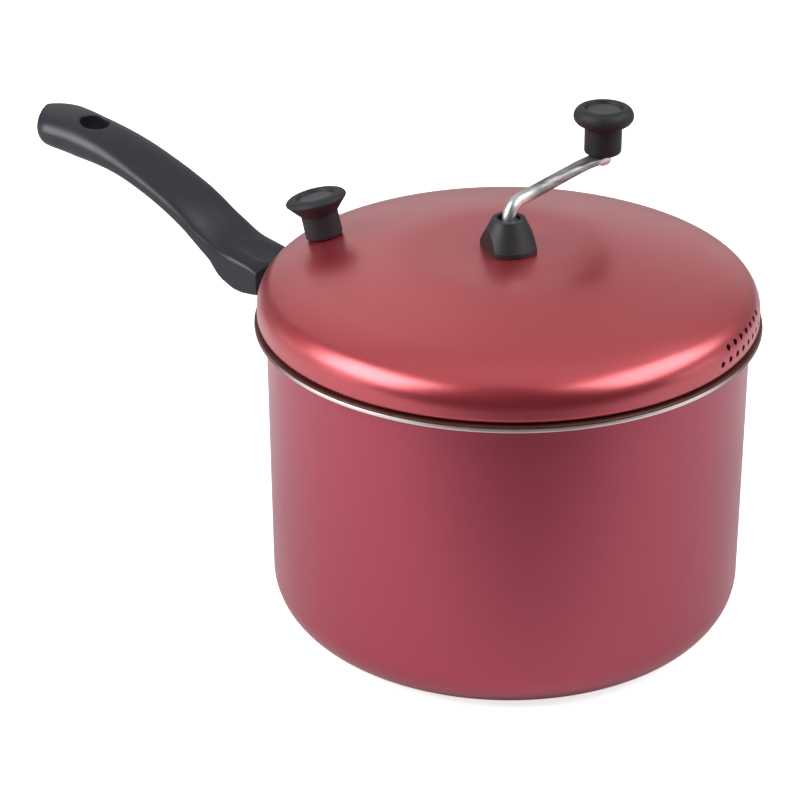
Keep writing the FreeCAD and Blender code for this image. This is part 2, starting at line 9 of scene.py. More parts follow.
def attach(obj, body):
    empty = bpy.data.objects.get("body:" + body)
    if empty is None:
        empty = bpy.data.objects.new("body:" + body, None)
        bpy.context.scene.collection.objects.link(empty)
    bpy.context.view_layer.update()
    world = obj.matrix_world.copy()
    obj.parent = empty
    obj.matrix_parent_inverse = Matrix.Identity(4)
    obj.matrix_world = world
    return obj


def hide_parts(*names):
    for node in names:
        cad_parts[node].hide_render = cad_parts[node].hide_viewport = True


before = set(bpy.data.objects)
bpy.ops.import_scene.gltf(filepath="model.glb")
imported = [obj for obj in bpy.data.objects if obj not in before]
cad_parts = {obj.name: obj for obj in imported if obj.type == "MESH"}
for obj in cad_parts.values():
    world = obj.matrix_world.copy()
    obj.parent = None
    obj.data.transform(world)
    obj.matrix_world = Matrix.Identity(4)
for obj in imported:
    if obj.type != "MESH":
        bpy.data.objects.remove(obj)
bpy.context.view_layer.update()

MM = 0.001
D2R = math.pi / 180.0

# ------------------------------------------------------------------ camera
# position and aim in the row frame, in millimetres and degrees
TURN = 30.0                      # the picture's own side direction, turned about Z into the row frame
CAM_E, CAM_D, CAM_ROLL, CAM_YAW, CAM_PO, CAM_ZT = 28.2396, 1208.2784, -0.46546, -2.73707, -1.43393, 71.4
CAM_F = 2491.108                 # focal length in pixels of an image 800 wide


def camera():
    er = CAM_E * D2R
    pos = Vector((0, -CAM_D * math.cos(er), CAM_ZT + CAM_D * math.sin(er)))
    el, ya, ro = er + CAM_PO * D2R, CAM_YAW * D2R, CAM_ROLL * D2R
    fwd = Vector((math.sin(ya) * math.cos(el), math.cos(ya) * math.cos(el), -math.sin(el)))
    right = fwd.cross(Vector((0, 0, 1))).normalized()
    up = right.cross(fwd)
    r2 = right * math.cos(ro) + up * math.sin(ro)
    u2 = -right * math.sin(ro) + up * math.cos(ro)
    m = Matrix((r2, u2, -fwd)).transposed().to_4x4()
    m.translation = pos * MM
    cam = bpy.data.cameras.new("camera")
    cam.sensor_fit = "HORIZONTAL"
    cam.sensor_width = 36.0
    cam.lens = CAM_F * 36.0 / 800.0
    cam.clip_start, cam.clip_end = 0.05, 20.0
    ob = bpy.data.objects.new("camera", cam)
    ob.matrix_world = Matrix.Rotation(TURN * D2R, 4, "Z") @ m
    bpy.context.scene.collection.objects.link(ob)
    bpy.context.scene.camera = ob
    return ob


camera()


# ------------------------------------------------------------------ light numbers
# name, azimuth, elevation, distance, width, height, brightness
LIGHTS = [
    ("box_right", 21, 45, 1.5, 1.45, 0.90, 4.1),
    ("box_left", 231, 37, 1.5, 1.12, 1.02, 5.6),
    ("wall_right", 28, 6, 1.9, 1.0, 0.55, 1.0),
    ("wall_left", 228, 6, 1.9, 0.9, 0.50, 1.3),
    ("wall_far_left", 197, 6, 1.9, 1.0, 0.55, 0.65),
    ("back_left", 148, 40, 1.6, 0.9, 0.9, 0.22),
    ("top", 300, 86, 1.6, 1.4, 1.4, 0.22),
]
WORLD = (-0.55, 0.75, 0.04, 0.58)      # facing measure from, to; brightness at the front and at the backdrop
SIDES = 0.40                           # share of it that is left towards the far left and right
HIGH = 0.74                            # and above about 30 degrees up
FLOOR_PAINTED_LIT = (0.69, 0.66, 0.69)        # painted light on the floor, seen only in reflections and bounce: pale close by and at its sides
FLOOR_PAINTED_SHADE = (0.12, 0.115, 0.13)         # painted shade on the floor: dark out in front
FLOOR_GLOW = 0.75                      # added where the floor itself is looked at


# ------------------------------------------------------------------ node helpers
class Mat:
    """Small helper around one node material."""

    def __init__(self, name):
        self.m = bpy.data.materials.new(name)
        self.m.use_nodes = True
        self.t = self.m.node_tree
        self.t.nodes.clear()
        self.out = self.n("ShaderNodeOutputMaterial")
        self.b = self.n("ShaderNodeBsdfPrincipled")
        self.l(self.b.outputs[0], self.out.inputs[0])
        self.co = self.n("ShaderNodeTexCoord").outputs["Object"]

    def n(self, kind, **kw):
        x = self.t.nodes.new(kind)
        for k, v in kw.items():
            setattr(x, k, v)
        return x

    def l(self, a, b):
        self.t.links.new(a, b)

    def set(self, **kw):
        for k, v in kw.items():
            self.b.inputs[k.replace("_", " ")].default_value = v
        return self

    def noise(self, scale, detail=2.0, rough=0.5, stretch=None, dist=0.0):
        co = self.co
        if stretch:
            mp = self.n("ShaderNodeMapping")
            mp.inputs["Scale"].default_value = stretch
            self.l(co, mp.inputs["Vector"])
            co = mp.outputs[0]
        x = self.n("ShaderNodeTexNoise")
        x.inputs["Scale"].default_value = scale
        x.inputs["Detail"].default_value = detail
        x.inputs["Roughness"].default_value = rough
        x.inputs["Distortion"].default_value = dist
        self.l(co, x.inputs["Vector"])
        return x.outputs["Fac"]

    def ramp(self, fac, *stops):
        r = self.n("ShaderNodeValToRGB")
        e = r.color_ramp.elements
        while len(e) < len(stops):
            e.new(0.5)
        for el, (p, c) in zip(e, stops):
            el.position = p
            el.color = (c, c, c, 1) if isinstance(c, (int, float)) else (*c[:3], 1)
        self.l(fac, r.inputs["Fac"])
        return r.outputs["Color"]

    def span(self, fac, a, b, lo, hi):
        r = self.n("ShaderNodeMapRange")
        r.inputs["From Min"].default_value, r.inputs["From Max"].default_value = a, b
        r.inputs["To Min"].default_value, r.inputs["To Max"].default_value = lo, hi
        self.l(fac, r.inputs["Value"])
        return r.outputs["Result"]

    def mix(self, fac, a, b, mode="MIX"):
        x = self.n("ShaderNodeMix", data_type="RGBA", blend_type=mode)
        for sock, v in ((x.inputs[0], fac), (x.inputs[6], a), (x.inputs[7], b)):
            if isinstance(v, bpy.types.NodeSocket):
                self.l(v, sock)
            elif isinstance(v, (int, float)):
                sock.default_value = v if sock is x.inputs[0] else (v, v, v, 1)
            else:
                sock.default_value = (*v[:3], 1)
        return x.outputs[2]

    def math(self, op, a, b=None, clamp=False):
        x = self.n("ShaderNodeMath", operation=op, use_clamp=clamp)
        for sock, v in ((x.inputs[0], a), (x.inputs[1], b)):
            if v is None:
                continue
            if isinstance(v, bpy.types.NodeSocket):
                self.l(v, sock)
            else:
                sock.default_value = v
        return x.outputs[0]

    def xyz(self):
        s = self.n("ShaderNodeSeparateXYZ")
        self.l(self.co, s.inputs[0])
        return s.outputs

    def bump(self, height, strength, distance, normal=None):
        x = self.n("ShaderNodeBump")
        x.inputs["Strength"].default_value = strength
        x.inputs["Distance"].default_value = distance
        self.l(height, x.inputs["Height"])
        if normal is not None:
            self.l(normal, x.inputs["Normal"])
        return x.outputs[0]

    def edge(self, lo=0.52, hi=0.60):
        g = self.n("ShaderNodeNewGeometry")
        return self.span(g.outputs["Pointiness"], lo, hi, 0.0, 1.0)


def paint(name, base, metal, rough, coat):
    """Satin metallic red: fine flake, faint orange peel, light scuffs where the base rests."""
    m = Mat(name)
    flake = m.noise(2600, 2.0, 0.6)
    cloud = m.noise(9.0, 3.0, 0.5)
    c = m.mix(m.ramp(flake, (0.30, 0.0), (0.72, 1.0)), tuple(x * 0.90 for x in base), tuple(min(1, x * 1.10) for x in base))
    c = m.mix(m.span(cloud, 0.3, 0.7, 0.0, 0.10), c, tuple(x * 0.8 for x in base))
    z = m.xyz()[2]
    low = m.math("MULTIPLY", m.span(z, 0.0002, 0.0022, 1.0, 0.0), m.ramp(m.noise(420, 4, 0.7), (0.50, 0.0), (0.66, 1.0)), True)
    c = m.mix(low, c, (0.42, 0.40, 0.40))
    m.l(c, m.b.inputs["Base Color"])
    m.l(m.span(m.noise(70, 4, 0.6), 0.3, 0.7, *rough), m.b.inputs["Roughness"])
    peel = m.noise(900, 2, 0.5)
    m.l(m.bump(flake, 0.08, 0.00003, m.bump(peel, 0.08, 0.00008)), m.b.inputs["Normal"])
    m.set(Metallic=metal, IOR=1.5, Coat_Weight=0.85, Coat_Roughness=0.28, Coat_IOR=coat)
    return m.m


def plastic(name, base, rough, ior=1.5, grain=1400, strength=0.12, wear=0.25):
    """Black moulded plastic: fine grain, uneven gloss, slightly paler worn edges."""
    m = Mat(name)
    worn = m.math("MULTIPLY", m.edge(0.53, 0.62), m.ramp(m.noise(260, 4, 0.7), (0.40, 0.0), (0.70, 1.0)), True)
    c = m.mix(m.span(m.noise(35, 3, 0.6), 0.35, 0.65, 0.0, 1.0), tuple(x * 0.85 for x in base), tuple(x * 1.2 for x in base))
    c = m.mix(m.math("MULTIPLY", worn, wear), c, (0.09, 0.09, 0.09))
    m.l(c, m.b.inputs["Base Color"])
    m.l(m.span(m.noise(90, 5, 0.65), 0.3, 0.7, rough[0], rough[1]), m.b.inputs["Roughness"])
    m.l(m.bump(m.noise(grain, 3, 0.6), strength, 0.00006), m.b.inputs["Normal"])
    m.set(Metallic=0.0, IOR=ior)
    return m.m


def metal(name, base, rough=(0.22, 0.34), grain=(1, 1, 1), scale=600, strength=0.15, dark=0.7):
    """Plated or turned metal: fine tooling, uneven gloss, darker film in patches, brighter edges."""
    m = Mat(name)
    tool = m.noise(scale, 3, 0.6, grain)
    film = m.ramp(m.noise(55, 4, 0.6), (0.35, 0.0), (0.75, 1.0))
    c = m.mix(film, base, tuple(x * dark for x in base))
    c = m.mix(m.math("MULTIPLY", m.edge(0.53, 0.62), 0.6), c, tuple(min(1.0, x * 1.25) for x in base))
    m.l(c, m.b.inputs["Base Color"])
    m.l(m.span(tool, 0.3, 0.7, rough[0], rough[1]), m.b.inputs["Roughness"])
    m.l(m.bump(tool, strength, 0.00003), m.b.inputs["Normal"])
    m.set(Metallic=1.0)
    return m.m


def rod_metal(name):
    """Bright plated rod: smooth at the bend, finely dented where it was pressed flat."""
    m = Mat(name)
    base = (0.47, 0.47, 0.47)
    x, y, z = m.xyz()
    # distance along the arm from the pot's axis, and across it
    along = m.math("ADD", m.math("MULTIPLY", x, math.cos(80 * D2R)), m.math("MULTIPLY", y, math.sin(80 * D2R)))
    across = m.math("SUBTRACT", m.math("MULTIPLY", y, math.cos(80 * D2R)), m.math("MULTIPLY", x, math.sin(80 * D2R)))
    lay = m.n("ShaderNodeCombineXYZ")
    m.l(m.math("MULTIPLY", along, 0.14), lay.inputs[0])
    m.l(across, lay.inputs[1])
    m.l(z, lay.inputs[2])
    drawn = m.n("ShaderNodeTexNoise")
    drawn.inputs["Scale"].default_value = 720
    drawn.inputs["Detail"].default_value = 3.0
    m.l(lay.outputs[0], drawn.inputs["Vector"])
    streak = m.span(drawn.outputs["Fac"], 0.40, 0.62, 0.0, 1.0)
    pressed = m.span(along, 0.020, 0.046, 0.12, 1.0)
    dents = m.math("MULTIPLY", m.noise(420, 3, 0.65), pressed)
    film = m.ramp(m.noise(130, 4, 0.65), (0.40, 0.0), (0.74, 1.0))
    c = m.mix(m.math("MULTIPLY", film, 0.5), base, (0.32, 0.32, 0.33))
    c = m.mix(m.math("MULTIPLY", streak, 0.85), c, (0.20, 0.20, 0.21))
    # painted highlight: the bend and the eye get a paler base than the arm between them, so they shine brighter under
    # the same lamps
    bright = m.math("ADD", m.span(along, 0.0600, 0.0640, 0.0, 1.0), m.span(along, 0.0080, 0.0180, 1.0, 0.0), True)
    c = m.mix(bright, c, (0.78, 0.77, 0.77))
    m.l(c, m.b.inputs["Base Color"])
    m.l(m.math("SUBTRACT", m.span(m.noise(300, 4, 0.6), 0.3, 0.7, 0.50, 0.62), m.math("MULTIPLY", bright, 0.17)), m.b.inputs["Roughness"])
    m.l(m.bump(dents, 0.55, 0.00018, m.bump(drawn.outputs["Fac"], 0.60, 0.00012)), m.b.inputs["Normal"])
    m.set(Metallic=1.0)
    return m.m


def coating(name, base=(0.105, 0.078, 0.060)):
    """Dark non-stick coating inside the pot, with fine speckle."""
    m = Mat(name)
    speck = m.ramp(m.noise(1300, 3, 0.7), (0.58, 0.0), (0.70, 1.0))
    c = m.mix(m.math("MULTIPLY", speck, 0.35), base, tuple(x * 2.2 for x in base))
    m.l(c, m.b.inputs["Base Color"])
    m.l(m.span(m.noise(80, 4, 0.6), 0.3, 0.7, 0.36, 0.46), m.b.inputs["Roughness"])
    m.l(m.bump(m.noise(900, 3, 0.6), 0.12, 0.00008), m.b.inputs["Normal"])
    m.set(Metallic=0.25, IOR=1.5)
    return m.m


def rim_metal(name):
    """Bare turned edge of the rim: fine lathe lines run round it; painted shade makes it browner towards its left and
    right ends.
    """
    m = Mat(name)
    x, y, z = m.xyz()
    lines = m.noise(60, 3, 0.6, (0.6, 0.6, 60.0))
    # painted shade: the mask below turns the bare edge brown towards its left and right ends, leaving front and back
    # bright
    side = m.math("ABSOLUTE", m.math("ADD", m.math("MULTIPLY", x, math.cos(30 * D2R)), m.math("MULTIPLY", y, math.sin(30 * D2R))))
    c = m.mix(m.span(m.noise(40, 3, 0.6), 0.35, 0.7, 0.0, 0.5), (0.95, 0.90, 0.89), (0.82, 0.76, 0.75))
    c = m.mix(m.span(m.math("ADD", side, m.math("MULTIPLY", m.noise(30, 3, 0.6), 0.008)), 0.088, 0.108, 0.0, 0.9), c, (0.20, 0.125, 0.105))
    m.l(c, m.b.inputs["Base Color"])
    m.l(m.span(lines, 0.3, 0.7, 0.36, 0.46), m.b.inputs["Roughness"])
    m.l(m.bump(lines, 0.15, 0.00003), m.b.inputs["Normal"])
    m.set(Metallic=1.0)
    return m.m


def rim_coat_and_shade(name):
    """Where the red and the dark coat meet on top of the rim: dark red-brown, glossy, unevenly thick, and darkened as
    painted shade from the lid above.
    """
    m = Mat(name)
    # dark red-brown: the coat's colour, made darker and redder as painted shade and reflection under the lid's edge
    c = m.mix(m.span(m.noise(60, 4, 0.6), 0.35, 0.65, 0.0, 1.0), (0.080, 0.020, 0.016), (0.115, 0.036, 0.027))
    m.l(c, m.b.inputs["Base Color"])
    m.l(m.span(m.noise(90, 4, 0.6), 0.3, 0.7, 0.34, 0.46), m.b.inputs["Roughness"])
    m.l(m.bump(m.noise(800, 3, 0.6), 0.12, 0.00006), m.b.inputs["Normal"])
    m.set(Metallic=0.3, IOR=1.36)
    return m.m


MATS = {
    # painted light: pot and lid share one red paint; the lid's copy has a paler base so the upward-facing lid reads
    # lighter than the walls
    "pot_paint": paint("pot_paint", (0.48, 0.056, 0.094), 0.66, (0.34, 0.40), 1.45),
    "lid_paint": paint("lid_paint", (0.60, 0.056, 0.076), 0.74, (0.31, 0.36), 1.76),
    "coating": coating("inner_coating"),
    "rim": rim_metal("bare_rim"),
    "rim_coat_and_shade": rim_coat_and_shade("rim_coat_and_shade"),
    "lid_inside": metal("lid_inside", (0.72, 0.72, 0.73), (0.34, 0.44), (1, 1, 1), 260, 0.10, 0.82),
    "phenolic": plastic("black_phenolic", (0.0240, 0.0235, 0.0280), (0.50, 0.58), 1.38),
    "grip": plastic("grip_phenolic", (0.0105, 0.0115, 0.0195), (0.37, 0.44), 1.60),
    # painted light: the knobs' top discs get a paler base than the same black plastic around them, so the upward faces
    # read lighter
    "cap": plastic("knob_cap", (0.0600, 0.0590, 0.0650), (0.50, 0.58), 1.45),
    "bushing": plastic("bushing_plastic", (0.0250, 0.0250, 0.0280), (0.42, 0.50), 1.45),
    "rod": rod_metal("plated_rod"),
    "steel": metal("zinc_steel", (0.60, 0.60, 0.62), (0.26, 0.40), (1, 1, 1), 500),
    "bracket": metal("bracket_steel", (0.55, 0.55, 0.56), (0.28, 0.42), (1, 1, 6), 300, 0.2),
    "rivet": metal("rivet_aluminium", (0.74, 0.74, 0.75), (0.30, 0.42), (1, 1, 1), 700),
    "brass": metal("machined_brass", (0.72, 0.54, 0.25), (0.24, 0.36), (1, 1, 1), 600),
    "clip": metal("spring_steel", (0.10, 0.10, 0.11), (0.34, 0.46), (1, 1, 1), 600),
    "wire": metal("drawn_wire", (0.66, 0.66, 0.67), (0.20, 0.32), (1, 1, 1), 800),
    "pin": metal("pin_steel", (0.90, 0.89, 0.90), (0.22, 0.34), (1, 1, 1), 700),
}


# ------------------------------------------------------------------ mesh helpers
def make(name, verts, faces, mats, index=None, sharp=35.0, body=None, slot=None, stands_for=()):
    """One mesh object in millimetres, smooth but sharp over the given angle."""
    me = bpy.data.meshes.new(name)
    me.from_pydata([tuple(float(c) * MM for c in v) for v in verts], [], [tuple(int(i) for i in f) for f in faces])
    for m in mats:
        me.materials.append(MATS[m])
    if index is not None:
        me.polygons.foreach_set("material_index", np.array(index, np.int32))
    me.polygons.foreach_set("use_smooth", np.ones(len(me.polygons), bool))
    me.update()
    bm = bmesh.new()
    bm.from_mesh(me)
    bmesh.ops.recalc_face_normals(bm, faces=bm.faces)
    bm.to_mesh(me)
    bm.free()
    me.set_sharp_from_angle(angle=sharp * D2R)
    ob = bpy.data.objects.new(name, me)
    bpy.context.scene.collection.objects.link(ob)
    if body:
        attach(ob, body)
    if stands_for:
        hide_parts(*stands_for)
    return ob


class Line:
    """Outline in the (radius, height) half plane, with a tag for each step."""

    def __init__(self, r, z, tag=0):
        self.pts = [(r, z)]
        self.tags = []
        self.tag = tag

    def to(self, r, z, n=1, tag=None):
        if tag is not None:
            self.tag = tag
        r0, z0 = self.pts[-1]
        if math.hypot(r - r0, z - z0) < 1e-6:
            return self
        for i in range(1, n + 1):
            t = i / n
            self.pts.append((r0 + (r - r0) * t, z0 + (z - z0) * t))
            self.tags.append(self.tag)
        return self

    def arc(self, cr, cz, rad, a0, a1, step=6.0, tag=None):
        if tag is not None:
            self.tag = tag
        n = max(2, int(math.ceil(abs(a1 - a0) / step)))
        self.to(cr + rad * math.cos(a0 * D2R), cz + rad * math.sin(a0 * D2R))
        for i in range(1, n + 1):
            a = (a0 + (a1 - a0) * i / n) * D2R
            self.pts.append((cr + rad * math.cos(a), cz + rad * math.sin(a)))
            self.tags.append(self.tag)
        return self

    def soft(self, r, z, rad, n=4):
        """Go to (r, z) and leave it as a corner to be rounded with radius rad by rounded()."""
        self.to(r, z)
        self.corners = getattr(self, "corners", {})
        self.corners[len(self.pts) - 1] = (rad, n)
        return self

    def rounded(self):
        pts, tags = [], []
        c = getattr(self, "corners", {})
        P = self.pts
        for i, p in enumerate(P):
            tag_in = self.tags[i - 1] if i > 0 else (self.tags[0] if self.tags else 0)
            if i in c and 0 < i < len(P) - 1:
                rad, n = c[i]
                a, b = Vector(P[i - 1]), Vector(P[i + 1])
                v = Vector(p)
                da, db = (a - v), (b - v)
                la, lb = da.length, db.length
                da, db = da / la, db / lb
                half = 0.5 * math.acos(max(-1, min(1, da.dot(db))))
                d = min(rad / max(math.tan(half), 1e-6), 0.49 * la, 0.49 * lb)
                for k in range(n + 1):
                    t = k / n
                    q = (v + da * d) * (1 - t) ** 2 + v * 2 * t * (1 - t) + (v + db * d) * t * t
                    pts.append((q.x, q.y))
                    tags.append(tag_in if k == 0 else self.tags[i] if k > n // 2 else tag_in)
            else:
                pts.append(p)
                tags.append(tag_in)
        out = Line(*pts[0])
        out.pts, out.tags = pts, tags[1:]
        return out


def revolve(name, line, mats, n=96, closed=False, sharp=35.0, place=None, **kw):
    """Turn an outline about Z. Points on the axis become single vertices."""
    verts, faces, index, rings = [], [], [], []
    for r, z in line.pts:
        if r < 1e-6:
            rings.append([len(verts)])
            verts.append((0, 0, z))
        else:
            rings.append(list(range(len(verts), len(verts) + n)))
            verts.extend((r * math.cos(2 * math.pi * i / n), r * math.sin(2 * math.pi * i / n), z) for i in range(n))
    pairs = list(zip(rings[:-1], rings[1:], line.tags))
    if closed:
        pairs.append((rings[-1], rings[0], line.tags[-1]))
    for a, b, tag in pairs:
        for i in range(n):
            j = (i + 1) % n
            if len(a) == 1 and len(b) == 1:
                continue
            if len(a) == 1:
                faces.append((a[0], b[i], b[j]))
            elif len(b) == 1:
                faces.append((a[i], a[j], b[0]))
            else:
                faces.append((a[i], a[j], b[j], b[i]))
            index.append(tag)
    if place is not None:
        verts = [tuple(place @ Vector(v)) for v in verts]
    return make(name, verts, faces, mats, index, sharp, **kw)


def tube(name, centres, frames, sections, mats, sharp=35.0, **kw):
    """Closed tube through section outlines. frames holds (side, up) unit vectors, sections lists of (side, up) offsets."""
    verts, faces = [], []
    n = len(sections[0])
    for c, (sx, sy), sec in zip(centres, frames, sections):
        verts.extend(tuple(c + sx * a + sy * b) for a, b in sec)
    for k in range(len(centres) - 1):
        for i in range(n):
            j = (i + 1) % n
            faces.append((k * n + i, k * n + j, (k + 1) * n + j, (k + 1) * n + i))
    for k, flip in ((0, True), (len(centres) - 1, False)):
        mid = len(verts)
        verts.append(tuple(sum((Vector(verts[k * n + i]) for i in range(n)), Vector()) / n))
        for i in range(n):
            j = (i + 1) % n
            faces.append((mid, k * n + j, k * n + i) if flip else (mid, k * n + i, k * n + j))
    return make(name, verts, faces, mats, None, sharp, **kw)


def oval(hw, hh, n, count=48):
    out = []
    for i in range(count):
        t = 2 * math.pi * i / count
        c, s = math.cos(t), math.sin(t)
        out.append((math.copysign(abs(c) ** (2.0 / n), c) * hw, math.copysign(abs(s) ** (2.0 / n), s) * hh))
    return out


# ------------------------------------------------------------------ pot
POT_R, RIM_R, RIM_TOP, RIM_T = 113.48, 118.985, 152.2, 2.67
under = RIM_TOP - RIM_T - 0.15
L = Line(0, 0, 0)
L.to(92.71, 0, 12).arc(92.71, 20.77, 20.77, -90, 0, 4)
L.to(POT_R, under - 1.5, 16).arc(POT_R + 1.5, under - 1.5, 1.5, 180, 90, 15)
L.to(RIM_R - 0.45, under, 2).arc(RIM_R - 0.45, under + 0.25, 0.25, -90, 0, 22.5)
# the bare edge face is turned slightly barrel-shaped
L.tag = 1
for k in range(9):
    a = (-10.0 + 38.0 * k / 8) * D2R
    L.to(RIM_R - 2.4 * (1 - math.cos(a)), under + 0.67 + 2.4 * math.sin(a))
L.tag = 3
for k in range(1, 8):
    a = (28.0 + 62.0 * k / 7) * D2R
    L.to(RIM_R - 0.281 - 1.02 * (math.cos(28 * D2R) - math.cos(a)), RIM_TOP - 1.02 * (1 - math.sin(a)))
L.to(POT_R + 1.0, RIM_TOP, 3).to(POT_R - 2.2 + 2.0, RIM_TOP, 2, tag=2).arc(POT_R - 0.2, RIM_TOP - 2.0, 2.0, 90, 180, 11.25)
L.to(POT_R - 2.2, 21.0, 14).arc(POT_R - 2.2 - 18.3, 21.0, 18.3, 0, -90, 4)
L.to(0, 2.7, 12)
revolve("pot", L, ["pot_paint", "rim", "coating", "rim_coat_and_shade"], 256, body="pot", slot="pot_paint", stands_for=["pot_shell"])

# ------------------------------------------------------------------ lid
LID_R, CURL_Z, CURL_R, SK, SH_R = 117.57, 155.1, 2.6, 158.22, 13.9
FLAT_Z, FLAT_R, CENTRE_R = 184.4, 40.0, 8.15
sh_c = (LID_R - SH_R, SK)
a1 = 90.0 - 25.94
r1, z1 = sh_c[0] + SH_R * math.cos(a1 * D2R), sh_c[1] + SH_R * math.sin(a1 * D2R)
bl_c = (r1 - 79.41 * math.cos(a1 * D2R), z1 - 79.41 * math.sin(a1 * D2R))
a2 = 90.0 - 12.93
r2, z2 = bl_c[0] + 79.41 * math.cos(a2 * D2R), bl_c[1] + 79.41 * math.sin(a2 * D2R)
CROWN = r2 / math.cos(a2 * D2R)
cr_z = z2 - CROWN * math.sin(a2 * D2R)


def crown_z(r):
    return cr_z + math.sqrt(CROWN * CROWN - r * r)


def lid_rows():
    """Outer surface from the centre hole to the lip's lower edge: lists of (r, z, normal r, normal z)."""
    rows = []

    def flat(ra, rb, n, z, nz=1.0):
        for i in range(n):
            r = ra + (rb - ra) * i / n
            rows.append((r, z, 0.0, nz))

    def arc(c, rad, aa, ab, n, sign=1.0):
        for i in range(n):
            a = (aa + (ab - aa) * i / n) * D2R
            rows.append((c[0] + rad * math.cos(a), c[1] + rad * math.sin(a), sign * math.cos(a), sign * math.sin(a)))

    flat(CENTRE_R, 13.0, 3, FLAT_Z)
    flat(13.0, FLAT_R, 9, FLAT_Z)
    # the flat centre rolls down into the crown without a step
    h = FLAT_Z - cr_z
    roll = (CROWN * CROWN - h * h - FLAT_R * FLAT_R) / (2 * (CROWN - h))
    a3 = math.degrees(math.atan2(h - roll, FLAT_R))
    arc((FLAT_R, FLAT_Z - roll), roll, 90.0, a3, 10)
    arc((0, cr_z), CROWN, a3, a2, 18)
    arc(bl_c, 79.41, a2, a1, 14)
    # shoulder, split so that the two rows of vent cells fall on whole rows
    CELL = 6.69
    s_up = 26.18 * D2R * SH_R                       # arc length of the upper row above the skirt's top
    s_lo = 158.7 - SK
    marks = [s_up + CELL / 2, 0.5 * (s_up + s_lo), s_lo - CELL / 2]
    total = a1 * D2R * SH_R

    def at(s):
        """Point at arc length s above (positive) or below the top of the skirt."""
        if s >= 0:
            a = s / SH_R
            return (sh_c[0] + SH_R * math.cos(a), sh_c[1] + SH_R * math.sin(a), math.cos(a), math.sin(a))
        if s >= -(SK - CURL_Z):
            return (LID_R, SK + s, 1.0, 0.0)
        a = (s + (SK - CURL_Z)) / CURL_R
        return (LID_R - CURL_R + CURL_R * math.cos(a), CURL_Z + CURL_R * math.sin(a), math.cos(a), math.sin(a))

    for i in range(7):
        rows.append(at(total + (marks[0] - total) * i / 7))
    first = len(rows)
    for k in range(2):
        for i in range(6):
            rows.append(at(marks[k] + (marks[k + 1] - marks[k]) * i / 6))
    end_s = -(SK - CURL_Z) - math.pi / 2 * CURL_R
    for i in range(8):
        rows.append(at(marks[2] + (end_s - marks[2]) * i / 8))
    zr = CURL_Z - CURL_R
    for i in range(3):
        r = (LID_R - CURL_R) + (111.7 - (LID_R - CURL_R)) * i / 3
        rows.append((r, zr, 0.0, -1.0))
    for i in range(5):
        a = (90 + 90 * i / 5) * D2R
        rows.append((111.7 + math.cos(a), zr - 1.0 + math.sin(a), -math.cos(a), -math.sin(a)))
    for i in range(4):
        rows.append((110.7, zr - 1.0 + (147.5 - zr + 1.0) * i / 3, 1.0, 0.0))
    return rows, first, (s_up, s_lo), at, marks


